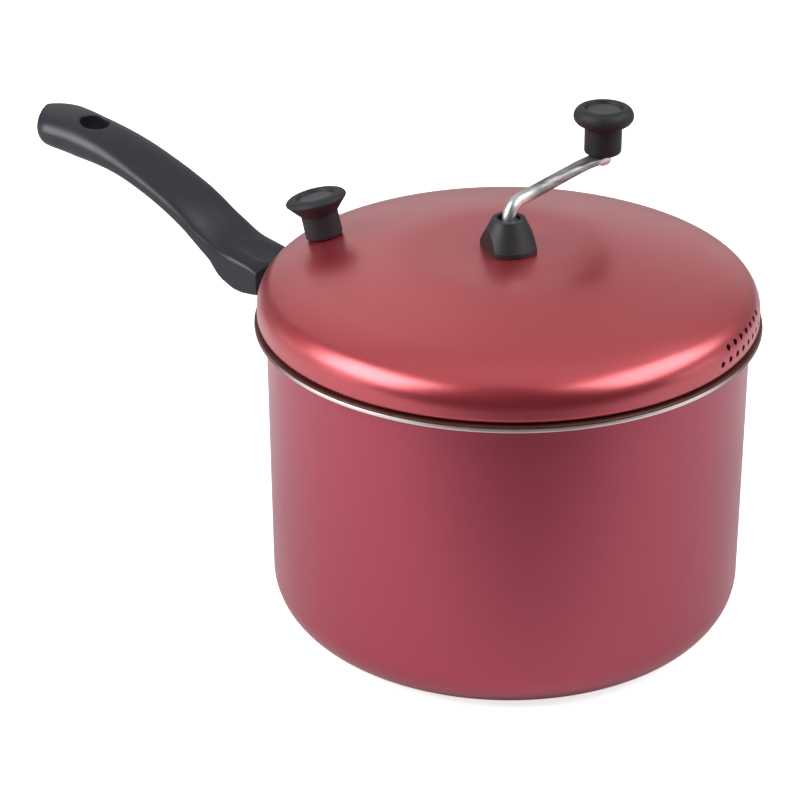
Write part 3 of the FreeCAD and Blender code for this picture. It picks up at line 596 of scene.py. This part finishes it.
def build_lid():
    rows, first, (s_up, s_lo), at, marks = lid_rows()
    T = 1.0
    VENT0, VSTEP, NV, SUB = -5.4, 3.3, 8, 6
    a_start = VENT0 - VSTEP / 2
    az = [a_start + VSTEP * i / SUB for i in range(NV * SUB)]
    rest_from = a_start + NV * VSTEP
    cells = 101 * 4
    az += [rest_from + (360.0 - NV * VSTEP) * i / cells for i in range(cells)]
    N, M = len(az), len(rows)
    verts, faces, index = [], [], []

    def point(row, a, inset):
        r, z, nr, nz = row
        rr, zz = r - nr * inset, z - nz * inset
        return (rr * math.cos(a * D2R), rr * math.sin(a * D2R), zz)

    for side in (0, 1):
        for row in rows:
            verts.extend(point(row, a, T * side) for a in az)
    off = N * M

    def vid(side, i, j):
        return side * off + i * N + j % N

    holes = set()
    for k in range(NV):
        holes.add((1, k))
        if k > 0:
            holes.add((0, k))
    skip = set()
    for c, k in holes:
        for i in range(SUB):
            for j in range(SUB):
                skip.add((first + c * SUB + i, k * SUB + j))
    for side in (0, 1):
        for i in range(M - 1):
            for j in range(N):
                if (i, j) in skip:
                    continue
                q = (vid(side, i, j), vid(side, i, j + 1), vid(side, i + 1, j + 1), vid(side, i + 1, j))
                faces.append(q if side == 0 else q[::-1])
                index.append(side)
    for j in range(N):
        faces.append((vid(0, 0, j), vid(1, 0, j), vid(1, 0, j + 1), vid(0, 0, j + 1)))
        index.append(0)
        faces.append((vid(0, M - 1, j), vid(0, M - 1, j + 1), vid(1, M - 1, j + 1), vid(1, M - 1, j)))
        index.append(1)
    # vents
    HR = 1.5
    for c, k in sorted(holes):
        i0, j0 = first + c * SUB, k * SUB
        loop = [(i0, j0 + t) for t in range(SUB)] + [(i0 + t, j0 + SUB) for t in range(SUB)] + \
               [(i0 + SUB, j0 + SUB - t) for t in range(SUB)] + [(i0 + SUB - t, j0) for t in range(SUB)]
        ac = VENT0 + VSTEP * k
        sc = s_up if c == 0 else s_lo
        rc = at(sc)[0]
        angles = []
        for (i, j) in loop:
            x = (az[j] if j < NV * SUB else az[NV * SUB - 1] + VSTEP / SUB) - ac
            y = marks[c] + (marks[c + 1] - marks[c]) * (i - i0) / SUB - sc
            angles.append(math.atan2(y, x * D2R * rc))

        def ring(rad, inset):
            ids = []
            for t in angles:
                row = at(sc + rad * math.sin(t))
                ids.append(len(verts))
                verts.append(point(row, ac + rad * math.cos(t) / rc / D2R, inset))
            return ids

        chain = [[vid(0, i, j) for i, j in loop], ring(2.35, 0.0), ring(1.74, 0.0), ring(1.60, 0.02), ring(1.52, 0.09), ring(HR, 0.2),
                 ring(HR, 0.82), ring(1.54, 0.93), ring(1.66, 0.99), ring(2.35, 1.0), [vid(1, i, j) for i, j in loop]]
        for n_, (a, b) in enumerate(zip(chain[:-1], chain[1:])):
            for t in range(len(loop)):
                u = (t + 1) % len(loop)
                faces.append((a[t], b[t], b[u], a[u]))
                index.append(0 if n_ < 6 else 1)
    return make("lid", verts, faces, ["lid_paint", "lid_inside"], index, 40.0, body="lid", slot="lid_paint", stands_for=["lid_shell"])


build_lid()


# ------------------------------------------------------------------ knobs
NECK = 8.95
CRANK_CAP = (14.42, 12.9, 18.5, 23.0)       # cap radius, top of the neck, height of the widest ring, height
LID_CAP = (14.65, 12.0, 18.9, 21.2)


def knob_line(L, cap, neck_top, widest, top, flared):
    """Outside of a moulded knob, from its bottom edge up to the floor of the dish."""
    L.arc(NECK - 1.6, 1.6, 1.6, -90, 0, 11)
    L.to(NECK, 7.0, 2)
    if flared:
        L.to(NECK, neck_top - 1.0, 2).soft(NECK, neck_top, 1.0, 5)
        L.soft(cap - 0.3, widest - 0.75, 0.25, 3).to(cap, widest - 0.3)
        cr = 9.7
    else:
        L.to(NECK, neck_top, 2).arc(NECK + 0.9, neck_top, 0.9, 180, 105, 12)
        for k in range(1, 25):
            a = (-70.0 + 70.0 * k / 24) * D2R
            L.to(8.0 + (cap - 8.0) * math.cos(a), widest + (widest - neck_top - 0.95) * math.sin(a))
        cr = 10.2
    for k in range(0 if flared else 1, 31):
        a = 3.0 * k * D2R
        L.to(cr + (cap - cr) * math.cos(a), widest + (top - widest) * math.sin(a))
    L.soft(9.45, top - 0.10, 0.3, 3).soft(9.18, top - 0.44, 0.3, 3).soft(8.76, top - 1.42, 0.2, 3).soft(8.55, top - 1.62, 0.1, 2)
    L.to(8.55, top - 3.35)
    return L


def cap_line(top):
    L = Line(0, top - 3.25)
    L.to(8.4, top - 3.25, 4).soft(8.48, top - 3.25, 0.05).soft(8.48, top - 1.71, 0.22, 4).soft(8.2, top - 1.60, 0.2, 3)
    L.to(5.5, top - 1.66, 2).to(2.6, top - 1.70, 2).to(0, top - 1.72, 2)
    return L.rounded()


KN_R, KN_AZ = 92.6, 191.1
kn_slope = math.degrees(math.asin(KN_R / CROWN))
ON_LID = (Matrix.Rotation(KN_AZ * D2R, 4, "Z") @ Matrix.Translation((KN_R, 0, crown_z(KN_R)))
          @ Matrix.Rotation(kn_slope * D2R, 4, "Y"))
ARM_R, EYE_Z, EYE_T = 69.0, 209.6, 3.6
PIN = Vector((ARM_R * math.cos(80 * D2R), ARM_R * math.sin(80 * D2R), 0))
KB = EYE_Z + EYE_T / 2 + 0.4
ON_PIN = Matrix.Translation((PIN.x, PIN.y, KB))

L = Line(0, 11.2)
L.to(4.02, 11.2, 2).soft(4.02, 0.0, 0.25)
L = knob_line(L, *LID_CAP, True)
L.to(0, LID_CAP[3] - 3.35, 3)
revolve("lid_knob_body", L.rounded(), ["phenolic"], 144, place=ON_LID, body="lid", slot="black_phenolic", stands_for=["lid_knob"])
revolve("lid_knob_disc", cap_line(LID_CAP[3]), ["cap"], 96, place=ON_LID, body="lid", slot="cap_plastic", stands_for=["lid_knob_cap"])

L = Line(2.56, 15.5)
L.soft(2.56, 0.0, 0.25)
L = knob_line(L, *CRANK_CAP, False)
L.to(5.8, CRANK_CAP[3] - 3.35, 2).to(5.8, 15.5, 2).to(2.56, 15.5, 2)
revolve("crank_knob_body", L.rounded(), ["phenolic"], 144, place=ON_PIN, body="knob", slot="black_phenolic", stands_for=["crank_knob"])
revolve("crank_knob_disc", cap_line(CRANK_CAP[3]), ["cap"], 96, place=ON_PIN, body="knob", slot="cap_plastic", stands_for=["crank_knob_cap"])


# ------------------------------------------------------------------ crank bushing
def build_bushing():
    n = 720
    # two wrench flats run from the lid up to where they meet the cone, so the radius depends on the direction
    flats = (-128.0, 52.0)

    def cut(r, a, k=0.22):
        for f in flats:
            d = (a - f + 180) % 360 - 180
            if abs(d) < 75:
                w = 10.4 / math.cos(d * D2R)
                h = max(0.0, min(1.0, 0.5 + 0.5 * (w - r) / k))
                r = w * (1 - h) + r * h - k * h * (1 - h) * 0.5
        return r

    az = [360.0 * i / n for i in range(n)]
    rings = []

    def ring(r, z, k=0.22):
        rings.append([(cut(r, a, k), a, z) for a in az])

    zf = FLAT_Z + 2.7
    ring(8.0, FLAT_Z - 1.0)
    ring(8.0, FLAT_Z + 0.02)
    ring(10.0, FLAT_Z + 0.02)
    ring(14.05, FLAT_Z + 0.02)
    ring(14.22, FLAT_Z + 0.10)
    ring(14.3, FLAT_Z + 0.30)
    ring(14.3, zf - 0.50)
    ring(14.26, zf - 0.26)
    ring(14.16, zf - 0.10)
    ring(14.00, zf - 0.02)
    ring(13.92, zf + 0.12)
    nz = 48
    for i in range(nz + 1):
        z = zf + 0.30 + (199.10 - zf - 0.30) * i / nz
        ring(14.0 + (7.9 - 14.0) * (z - zf) / (199.25 - zf), z)
    for t in (15, 30, 45, 60, 75, 90):
        ring(7.965 - 0.62 * (1 - math.cos(t * D2R)), 199.10 + 0.60 * math.sin(t * D2R))
    ring(6.4, 199.70)
    ring(5.80, 199.70)
    for t in (20, 45, 70, 90):
        ring(5.80 - 0.40 * math.sin(t * D2R), 199.70 - 0.40 * (1 - math.cos(t * D2R)))
    ring(5.4, 197.55)
    ring(5.32, 197.43)
    ring(5.2, 197.40)
    ring(3.5, 197.40)
    ring(3.3, 197.35)
    ring(3.225, 197.20)
    ring(3.225, 176.4)
    ring(7.4, 176.4)
    ring(8.0, 177.0)
    verts = [(r * math.cos(a * D2R), r * math.sin(a * D2R), z) for R in rings for r, a, z in R]
    faces = []
    m = len(rings)
    for k in range(m):
        k2 = (k + 1) % m
        for i in range(n):
            j = (i + 1) % n
            faces.append((k * n + i, k * n + j, k2 * n + j, k2 * n + i))
    return make("bushing", verts, faces, ["bushing"], None, 30.0, body="lid", slot="bushing_nylon", stands_for=["crank_bushing"])


build_bushing()


# ------------------------------------------------------------------ crank rod
def build_rod():
    R = 3.175
    cs, sn = math.cos(80 * D2R), math.sin(80 * D2R)
    out, side, up = Vector((cs, sn, 0)), Vector((-sn, cs, 0)), Vector((0, 0, 1))
    C, F, S = [], [], []
    nsec = 56

    def add(c, b, sec):
        C.append(c)
        F.append((side, b))
        S.append(sec)

    # vertical part: the section's second direction points away from the arm
    def vert(z, r):
        add(Vector((0, 0, z)), -out, oval(r, r, 2.0, nsec))

    for z, r in ((3.7, 2.2), (3.72, 2.55), (3.9, 2.85), (4.3, R)):
        vert(z, r)
    for z in (60.0, 120.0, 174.2):
        vert(z, R)
    for z, r in ((174.30, R), (174.32, 2.72), (175.18, 2.72), (175.20, R), (186.0, R), (197.65, R), (197.67, 2.72), (198.52, 2.72)):
        vert(z, r)
    # the bend, then the arm rising gently towards the knob
    tilt = 4.23 * D2R
    BR, full = 8.0, 90.0 - 4.23
    x0 = BR * (1 - math.cos(full * D2R))

    def line(x):
        return 205.77 + x * math.tan(tilt)

    bz = line(x0) - BR * math.sin(full * D2R)
    for i in range(25):
        a = (1.6 + (full - 1.6) * i / 24) * D2R
        c = out * (BR - BR * math.cos(a)) + up * (bz + BR * math.sin(a))
        b = -out * math.cos(a) + up * math.sin(a)
        add(c, b, oval(R, R, 2.0, nsec))
    # distance, height above the arm's line, share of the lean, half width, half height, squareness
    st = [(7.0, 0.0, 1.0, R, R, 2.0), (28.0, 0.0, 1.0, R, R, 2.0), (35.0, 0.0, 1.0, R, R, 2.0), (40.0, 0.0, 1.0, 3.19, 3.12, 2.03),
          (44.0, 0.0, 1.0, 3.30, 2.90, 2.15), (49.0, 0.0, 0.9, 3.56, 2.48, 2.6), (54.0, -0.085, 0.5, 3.82, 2.05, 3.4),
          (58.0, -0.40, 0.1, 3.98, 1.84, 4.0), (61.0, -0.682, 0.0, 4.08, 1.80, 4.4), (65.0, -0.978, 0.0, 4.22, 1.80, 4.6), (69.0, -1.273, 0.0, 4.38, 1.80, 4.6)]
    xs = [s[0] for s in st]
    from_table = lambda x, k: float(np.interp(x, xs, [s[k] for s in st]))

    def smooth(x, k):
        return sum(from_table(x + d, k) * w for d, w in ((-1.6, .25), (0, .5), (1.6, .25)))

    x = 9.0
    while x < 68.4:
        lean = tilt * smooth(x, 2)
        z = line(x) + smooth(x, 1) if x < 60 else EYE_Z
        add(out * x + up * z, -out * math.sin(lean) + up * math.cos(lean), oval(smooth(x, 3), smooth(x, 4), smooth(x, 5), nsec))
        x += 1.25
    for t in (0, 12, 24, 36, 46, 55, 63, 70, 76, 81, 85, 88):
        w = 4.38 * math.cos(t * D2R)
        xx = ARM_R + 4.38 * math.sin(t * D2R)
        h = EYE_T / 2 * (1.0 - 0.26 * max(0.0, math.sin(t * D2R) - 0.86) / 0.14)
        add(out * xx + up * EYE_Z, up.copy(), oval(w, h, 4.6, nsec))
    return tube("crank_rod_bar", C, F, S, ["rod"], 40.0, body="crank", slot="plated_rod", stands_for=["crank_rod"])


build_rod()

# ------------------------------------------------------------------ pin through the eye and the knob
eye_t, eye_b = EYE_Z + EYE_T / 2, EYE_Z - EYE_T / 2
head = KB + 16.4
L = Line(0, eye_b - 2.35)
for k in range(1, 17):
    a = 90.0 * k / 16 * D2R
    L.to(4.05 * math.sin(a), eye_b - 0.25 - 2.1 * math.cos(a))
L.soft(4.05, eye_b - 0.02, 0.1)
L.to(1.92, eye_b - 0.02).to(1.92, eye_t + 0.02).to(2.5, eye_t + 0.02).to(2.5, head).soft(4.4, head, 0.1).soft(4.4, head + 0.8, 0.3).soft(3.8, head + 1.3, 0.3)
L.to(0, head + 1.3)
revolve("knob_pin_stud", L.rounded(), ["pin"], 72, place=Matrix.Translation((PIN.x, PIN.y, 0)), body="crank", slot="pin_steel", stands_for=["knob_pin"])

# ------------------------------------------------------------------ handle
GRIP = [
    (133.4, 147.07, 30.90, 13.40, 16.49, 8.20, 0.00), (137.0, 148.90, 23.25, 16.10, 16.50, 7.69, 0.36),
    (140.5, 150.20, 17.85, 17.90, 16.52, 7.20, 0.71), (144.0, 151.22, 15.12, 18.45, 16.56, 6.70, 1.00),
    (147.5, 152.16, 15.34, 17.78, 16.61, 6.21, 1.00), (151.0, 153.21, 18.46, 16.75, 16.74, 5.71, 1.00),
    (154.5, 154.54, 23.21, 14.01, 17.00, 5.22, 1.00), (158.0, 156.24, 28.77, 10.97, 17.29, 4.72, 1.00),
    (162.0, 158.76, 35.25, 10.21, 17.55, 4.15, 1.00), (167.0, 162.61, 39.09, 10.48, 17.59, 3.45, 1.00),
    (173.0, 167.45, 37.66, 10.87, 17.50, 3.20, 1.00), (181.0, 173.00, 32.13, 11.17, 17.29, 3.20, 1.00),
    (191.0, 178.75, 28.28, 11.55, 16.98, 3.07, 1.00), (203.0, 184.99, 26.46, 12.61, 16.71, 2.88, 1.00),
    (217.0, 191.41, 22.37, 14.51, 16.42, 2.66, 1.00), (232.0, 196.69, 16.44, 17.24, 16.21, 2.43, 1.00),
    (246.0, 200.11, 11.03, 19.00, 16.34, 2.21, 1.00), (257.0, 201.85, 6.96, 18.87, 17.27, 2.20, 1.00),
    (263.0, 202.47, 4.84, 18.43, 17.59, 2.20, 1.00), (267.5, 202.79, 3.29, 17.15, 15.95, 2.20, 1.00),
    (270.5, 202.94, 2.28, 15.34, 13.30, 2.20, 1.00), (272.6, 203.01, 1.59, 13.19, 10.10, 2.20, 1.00),
    (273.9, 203.04, 1.17, 11.01, 6.80, 2.20, 1.00), (274.6, 203.05, 0.94, 8.85, 3.40, 2.20, 1.00),
]
HANG = (243.56, 199.62, 11.96, 7.5)


def steady(xs, ys, x):
    """Monotone cubic through the table's points."""
    xs, ys = np.array(xs, float), np.array(ys, float)
    h, d = np.diff(xs), np.diff(ys) / np.diff(xs)
    m = np.zeros(len(xs))
    m[0], m[-1] = d[0], d[-1]
    for i in range(1, len(xs) - 1):
        if d[i - 1] * d[i] > 0:
            w1, w2 = 2 * h[i] + h[i - 1], h[i] + 2 * h[i - 1]
            m[i] = (w1 + w2) / (w1 / d[i - 1] + w2 / d[i])
    k = np.clip(np.searchsorted(xs, x) - 1, 0, len(xs) - 2)
    t = (x - xs[k]) / h[k]
    return ((1 + 2 * t) * (1 - t) ** 2 * ys[k] + t * (1 - t) ** 2 * h[k] * m[k]
            + t * t * (3 - 2 * t) * ys[k + 1] + t * t * (t - 1) * h[k] * m[k + 1])


def solid(name, verts, faces):
    me = bpy.data.meshes.new(name)
    me.from_pydata([tuple(float(c) * MM for c in v) for v in verts], [], faces)
    me.update()
    bm = bmesh.new()
    bm.from_mesh(me)
    bmesh.ops.recalc_face_normals(bm, faces=bm.faces)
    bm.to_mesh(me)
    bm.free()
    ob = bpy.data.objects.new(name, me)
    bpy.context.scene.collection.objects.link(ob)
    return ob


def prism(name, pts_bottom, pts_top):
    n = len(pts_bottom)
    verts = list(pts_bottom) + list(pts_top)
    faces = [tuple(range(n))[::-1], tuple(range(n, 2 * n))] + [(i, (i + 1) % n, n + (i + 1) % n, n + i) for i in range(n)]
    return solid(name, verts, faces)


def applied(ob):
    """Bake the object's modifiers into its mesh."""
    dg = bpy.context.evaluated_depsgraph_get()
    me = bpy.data.meshes.new_from_object(ob.evaluated_get(dg))
    old = ob.data
    ob.modifiers.clear()
    ob.data = me
    bpy.data.meshes.remove(old)
    return ob


def build_handle():
    xs = [g[0] for g in GRIP]
    cols = list(zip(*GRIP))
    stations = list(np.arange(133.4, 262.0, 1.2)) + list(np.arange(262.0, 270.0, 0.6)) + list(np.arange(270.0, 273.4, 0.3)) + list(np.arange(273.4, 274.61, 0.15))
    n = 120
    verts, faces = [], []
    for x in stations:
        zt, sl, t, hw, ex, sh = (float(steady(xs, c, x)) for c in cols[1:])
        ex -= 0.42 * max(0.0, min(1.0, (x - 160.0) / 8.0)) * max(0.0, min(1.0, (ex - 2.2) / 0.6))
        a = sl * D2R * min(1.0, max(0.0, sh))
        up = Vector((math.sin(a), 0, math.cos(a)))
        mid = Vector((-x, 0, zt)) - up * (t / 2)
        for p, q in oval(hw, t / 2, ex, n):
            verts.append(tuple(mid + Vector((0, 1, 0)) * p + up * q))
    m = len(stations)
    for k in range(m - 1):
        for i in range(n):
            j = (i + 1) % n
            faces.append((k * n + i, k * n + j, (k + 1) * n + j, (k + 1) * n + i))
    faces.append(tuple(range(n)))
    faces.append(tuple(range((m - 1) * n, m * n))[::-1])
    body = solid("handle", verts, faces)
    cutters = []
    # hanging hole
    hx, hz, hs, hr = HANG
    ha = hs * D2R
    hn, hu = Vector((math.sin(ha), 0, math.cos(ha))), Vector((math.cos(ha), 0, -math.sin(ha)))
    c0 = Vector((-hx, 0, hz))
    rings = [(-40, hr), (-0.6, hr), (5.4, hr + 6)]
    hv, hf = [], []
    for d, r in rings:
        for i in range(96):
            t = 2 * math.pi * i / 96
            hv.append(tuple(c0 + hn * d + hu * (r * math.cos(t)) + Vector((0, 1, 0)) * (r * math.sin(t))))
    for k in range(2):
        for i in range(96):
            j = (i + 1) % 96
            hf.append((k * 96 + i, k * 96 + j, (k + 1) * 96 + j, (k + 1) * 96 + i))
    hf += [tuple(range(96)), tuple(range(192, 288))[::-1]]
    cutters.append(solid("cut_hole", hv, hf))
    # thumb hollow
    bm = bmesh.new()
    bmesh.ops.create_uvsphere(bm, u_segments=64, v_segments=40, radius=10.0 * MM)
    me = bpy.data.meshes.new("cut_hollow")
    bm.to_mesh(me)
    bm.free()
    me.transform(Matrix.Translation(Vector((-141.8, 0, 152.4)) * MM) @ Matrix.Rotation(16 * D2R, 4, "Y") @ Matrix.Diagonal((1.5, 1.0, 0.32, 1.0)))
    hol = bpy.data.objects.new("cut_hollow", me)
    bpy.context.scene.collection.objects.link(hol)
    cutters.append(hol)
    # socket for the bracket's tongue, and the screw's counterbore
    y, z0, z1 = 7.15, 139.35, 142.65
    cutters.append(prism("cut_socket", [(-151.4, -y, z0), (-128, -y, z0), (-128, y, z0), (-151.4, y, z0)],
                         [(-151.4, -y, z1), (-128, -y, z1), (-128, y, z1), (-151.4, y, z1)]))
    for r, za, zb in ((4.2, 120.0, 134.7), (2.2, 130.0, 146.0)):
        cutters.append(prism("cut_bore", [(-143 + r * math.cos(i * math.pi / 24), r * math.sin(i * math.pi / 24), za) for i in range(48)],
                             [(-143 + r * math.cos(i * math.pi / 24), r * math.sin(i * math.pi / 24), zb) for i in range(48)]))
    for c in cutters:
        md = body.modifiers.new("cut", "BOOLEAN")
        md.operation, md.solver, md.object = "DIFFERENCE", "EXACT", c
    applied(body)
    for c in cutters:
        me = c.data
        bpy.data.objects.remove(c)
        bpy.data.meshes.remove(me)
    md = body.modifiers.new("remesh", "REMESH")
    md.mode, md.voxel_size, md.adaptivity = "VOXEL", 0.00045, 0.0
    applied(body)
    md = body.modifiers.new("smooth", "SMOOTH")
    md.factor, md.iterations = 0.5, 5
    applied(body)
    me = body.data
    me.materials.clear()
    me.materials.append(MATS["grip"])
    me.polygons.foreach_set("use_smooth", np.ones(len(me.polygons), bool))
    me.polygons.foreach_set("material_index", np.zeros(len(me.polygons), np.int32))
    me.update()
    body.name = "handle"
    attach(body, "pot")
    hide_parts("handle_grip")
    return body


build_handle()

# ------------------------------------------------------------------ rivets
def build_rivets():
    """Three domed rivets through the wall and the bracket's plate, one mesh."""
    top = 2.2 + 0.03 + 2.5 + 0.18
    L = Line(0, -1.68)
    L.arc(0, 4.2, 5.88, -90, -46, 4).to(4.2, 0.0).to(2.39, 0.0).to(2.39, top)
    L.soft(3.88, top, 0.08, 3).soft(3.5, top + 0.88, 0.4, 5).soft(1.6, top + 1.46, 0.8, 5).to(0, top + 1.46)
    pts, n = L.rounded().pts, 64
    verts, faces = [], []
    for az, z in ((180.0, 116.0), (187.2, 136.5), (172.8, 136.5)):
        place = Matrix.Rotation(az * D2R, 4, "Z") @ Matrix.Translation((POT_R - 2.2 - 0.1, 0, z)) @ Matrix.Rotation(90 * D2R, 4, "Y")
        rings = []
        for r, h in pts:
            k = 1 if r < 1e-6 else n
            rings.append(list(range(len(verts), len(verts) + k)))
            verts.extend(tuple(place @ Vector((r * math.cos(2 * math.pi * i / n), r * math.sin(2 * math.pi * i / n), h))) for i in range(k))
        for a, b in zip(rings[:-1], rings[1:]):
            for i in range(n):
                j = (i + 1) % n
                if len(a) == 1:
                    faces.append((a[0], b[i], b[j]))
                elif len(b) == 1:
                    faces.append((a[i], a[j], b[0]))
                else:
                    faces.append((a[i], a[j], b[j], b[i]))
    return make("rivet_set", verts, faces, ["rivet"], None, 35.0, body="pot", slot="rivet_aluminium", stands_for=["bracket_rivets"])


build_rivets()

# ------------------------------------------------------------------ carried-over nodes
CARRIED = {
    "handle_bracket": "bracket", "handle_screw": "steel",
    "lid_knob_insert": "brass", "lid_knob_screw": "steel", "lid_knob_washer": "steel",
    "bushing_washer": "steel", "bushing_nut": "steel",
    "rod_clips": "clip", "thrust_washer": "steel", "stirrer_hub": "steel", "hub_thumbscrew": "brass",
    "stirrer_wire_a": "wire", "stirrer_wire_b": "wire", "knob_pin_washer": "steel",
}
for node, mat in CARRIED.items():
    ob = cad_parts[node]
    for s in ob.material_slots:
        s.material = MATS[mat]
    if not ob.material_slots:
        ob.data.materials.append(MATS[mat])

# ------------------------------------------------------------------ floor and light
bm = bmesh.new()
bmesh.ops.create_grid(bm, x_segments=2, y_segments=2, size=6.0)
me = bpy.data.meshes.new("floor")
bm.to_mesh(me)
bm.free()
floor = bpy.data.objects.new("floor", me)
floor.location = (0, 0, -0.0002)
bpy.context.scene.collection.objects.link(floor)
fm = Mat("floor_pale")
tone = fm.mix(fm.span(fm.noise(3, 2, 0.5), 0.3, 0.7, 0.0, 1.0), (0.93, 0.93, 0.93), (0.95, 0.95, 0.95))
seen = fm.n("ShaderNodeLightPath").outputs["Is Camera Ray"]
fx, fy, fz = fm.xyz()
FRONT = -52.0
front = fm.math("ADD", fm.math("MULTIPLY", fx, math.cos(FRONT * D2R)), fm.math("MULTIPLY", fy, math.sin(FRONT * D2R)))
aside = fm.math("ABSOLUTE", fm.math("ADD", fm.math("MULTIPLY", fx, -math.sin(FRONT * D2R)), fm.math("MULTIPLY", fy, math.cos(FRONT * D2R))))
# painted light and shade on the floor: pale near the object and at its sides, dark out in front; the camera itself
# sees it evenly pale
away = fm.span(fm.math("SUBTRACT", front, fm.math("MULTIPLY", aside, 0.5)), 0.13, 0.42, 0.0, 1.0)
fm.l(fm.mix(seen, fm.mix(away, FLOOR_PAINTED_LIT, FLOOR_PAINTED_SHADE), tone), fm.b.inputs["Base Color"])
fm.l(seen, fm.b.inputs["Emission Strength"])
fm.set(Roughness=0.85, Metallic=0.0)
fm.b.inputs["Specular IOR Level"].default_value = 0.2
fm.b.inputs["Emission Color"].default_value = (FLOOR_GLOW, FLOOR_GLOW, FLOOR_GLOW, 1)
me.materials.append(fm.m)


def area(name, az, el, dist, size_x, size_y, radiance, target=(0, 0, 0.11), color=(1, 1, 1)):
    """Soft box of the given brightness (radiance), seen from the target at azimuth and elevation."""
    li = bpy.data.lights.new(name, "AREA")
    li.shape, li.size, li.size_y, li.color = "RECTANGLE", size_x, size_y, color
    li.energy = radiance * math.pi * size_x * size_y
    ob = bpy.data.objects.new(name, li)
    d = Vector((math.cos(az * D2R) * math.cos(el * D2R), math.sin(az * D2R) * math.cos(el * D2R), math.sin(el * D2R)))
    ob.location = Vector(target) + d * dist
    ob.rotation_euler = (-d).to_track_quat("-Z", "Y").to_euler()
    bpy.context.scene.collection.objects.link(ob)
    return ob


# azimuths in the row frame; the camera looks from azimuth -60, so 120 is the backdrop
for name, az, el, dist, sx, sy, rad in LIGHTS:
    area(name, az, el, dist, sx, sy, rad)

w = bpy.data.worlds.new("studio")
bpy.context.scene.world = w
w.use_nodes = True
nt = w.node_tree
bg = nt.nodes["Background"]
tc = nt.nodes.new("ShaderNodeTexCoord")
dot = nt.nodes.new("ShaderNodeVectorMath")
dot.operation = "DOT_PRODUCT"
nt.links.new(tc.outputs["Generated"], dot.inputs[0])
dot.inputs[1].default_value = (math.cos(120 * D2R) * 0.97, math.sin(120 * D2R) * 0.97, 0.2)
mr = nt.nodes.new("ShaderNodeMapRange")
mr.interpolation_type = "SMOOTHSTEP"
mr.inputs["From Min"].default_value, mr.inputs["From Max"].default_value = WORLD[0], WORLD[1]
mr.inputs["To Min"].default_value, mr.inputs["To Max"].default_value = WORLD[2], WORLD[3]
nt.links.new(dot.outputs["Value"], mr.inputs["Value"])
lp = nt.nodes.new("ShaderNodeLightPath")
sep = nt.nodes.new("ShaderNodeVectorMath")
sep.operation = "DOT_PRODUCT"
nt.links.new(tc.outputs["Generated"], sep.inputs[0])
sep.inputs[1].default_value = (math.cos(30 * D2R), math.sin(30 * D2R), 0.0)
ab = nt.nodes.new("ShaderNodeMath")
ab.operation = "ABSOLUTE"
nt.links.new(sep.outputs["Value"], ab.inputs[0])
sd = nt.nodes.new("ShaderNodeMapRange")
sd.inputs["From Min"].default_value, sd.inputs["From Max"].default_value = 0.29, 0.62
sd.inputs["To Min"].default_value, sd.inputs["To Max"].default_value = 1.0, SIDES
nt.links.new(ab.outputs[0], sd.inputs["Value"])
up = nt.nodes.new("ShaderNodeSeparateXYZ")
nt.links.new(tc.outputs["Generated"], up.inputs[0])
hi = nt.nodes.new("ShaderNodeMapRange")
hi.inputs["From Min"].default_value, hi.inputs["From Max"].default_value = 0.18, 0.48
hi.inputs["To Min"].default_value, hi.inputs["To Max"].default_value = 1.0, HIGH
nt.links.new(up.outputs["Z"], hi.inputs["Value"])
side_hi = nt.nodes.new("ShaderNodeMath")
side_hi.operation = "MULTIPLY"
nt.links.new(hi.outputs["Result"], side_hi.inputs[0])
nt.links.new(sd.outputs["Result"], side_hi.inputs[1])
both = nt.nodes.new("ShaderNodeMath")
both.operation = "MULTIPLY"
nt.links.new(mr.outputs["Result"], both.inputs[0])
nt.links.new(side_hi.outputs[0], both.inputs[1])
mx = nt.nodes.new("ShaderNodeMix")
nt.links.new(lp.outputs["Is Camera Ray"], mx.inputs[0])
nt.links.new(both.outputs[0], mx.inputs[2])
mx.inputs[3].default_value = 1.0
nt.links.new(mx.outputs[0], bg.inputs["Strength"])
bg.inputs["Color"].default_value = (1, 1, 1, 1)

sc = bpy.context.scene
sc.view_settings.view_transform = "Standard"
sc.view_settings.look = "None"
sc.view_settings.exposure = 0.0
sc.view_settings.gamma = 1.0
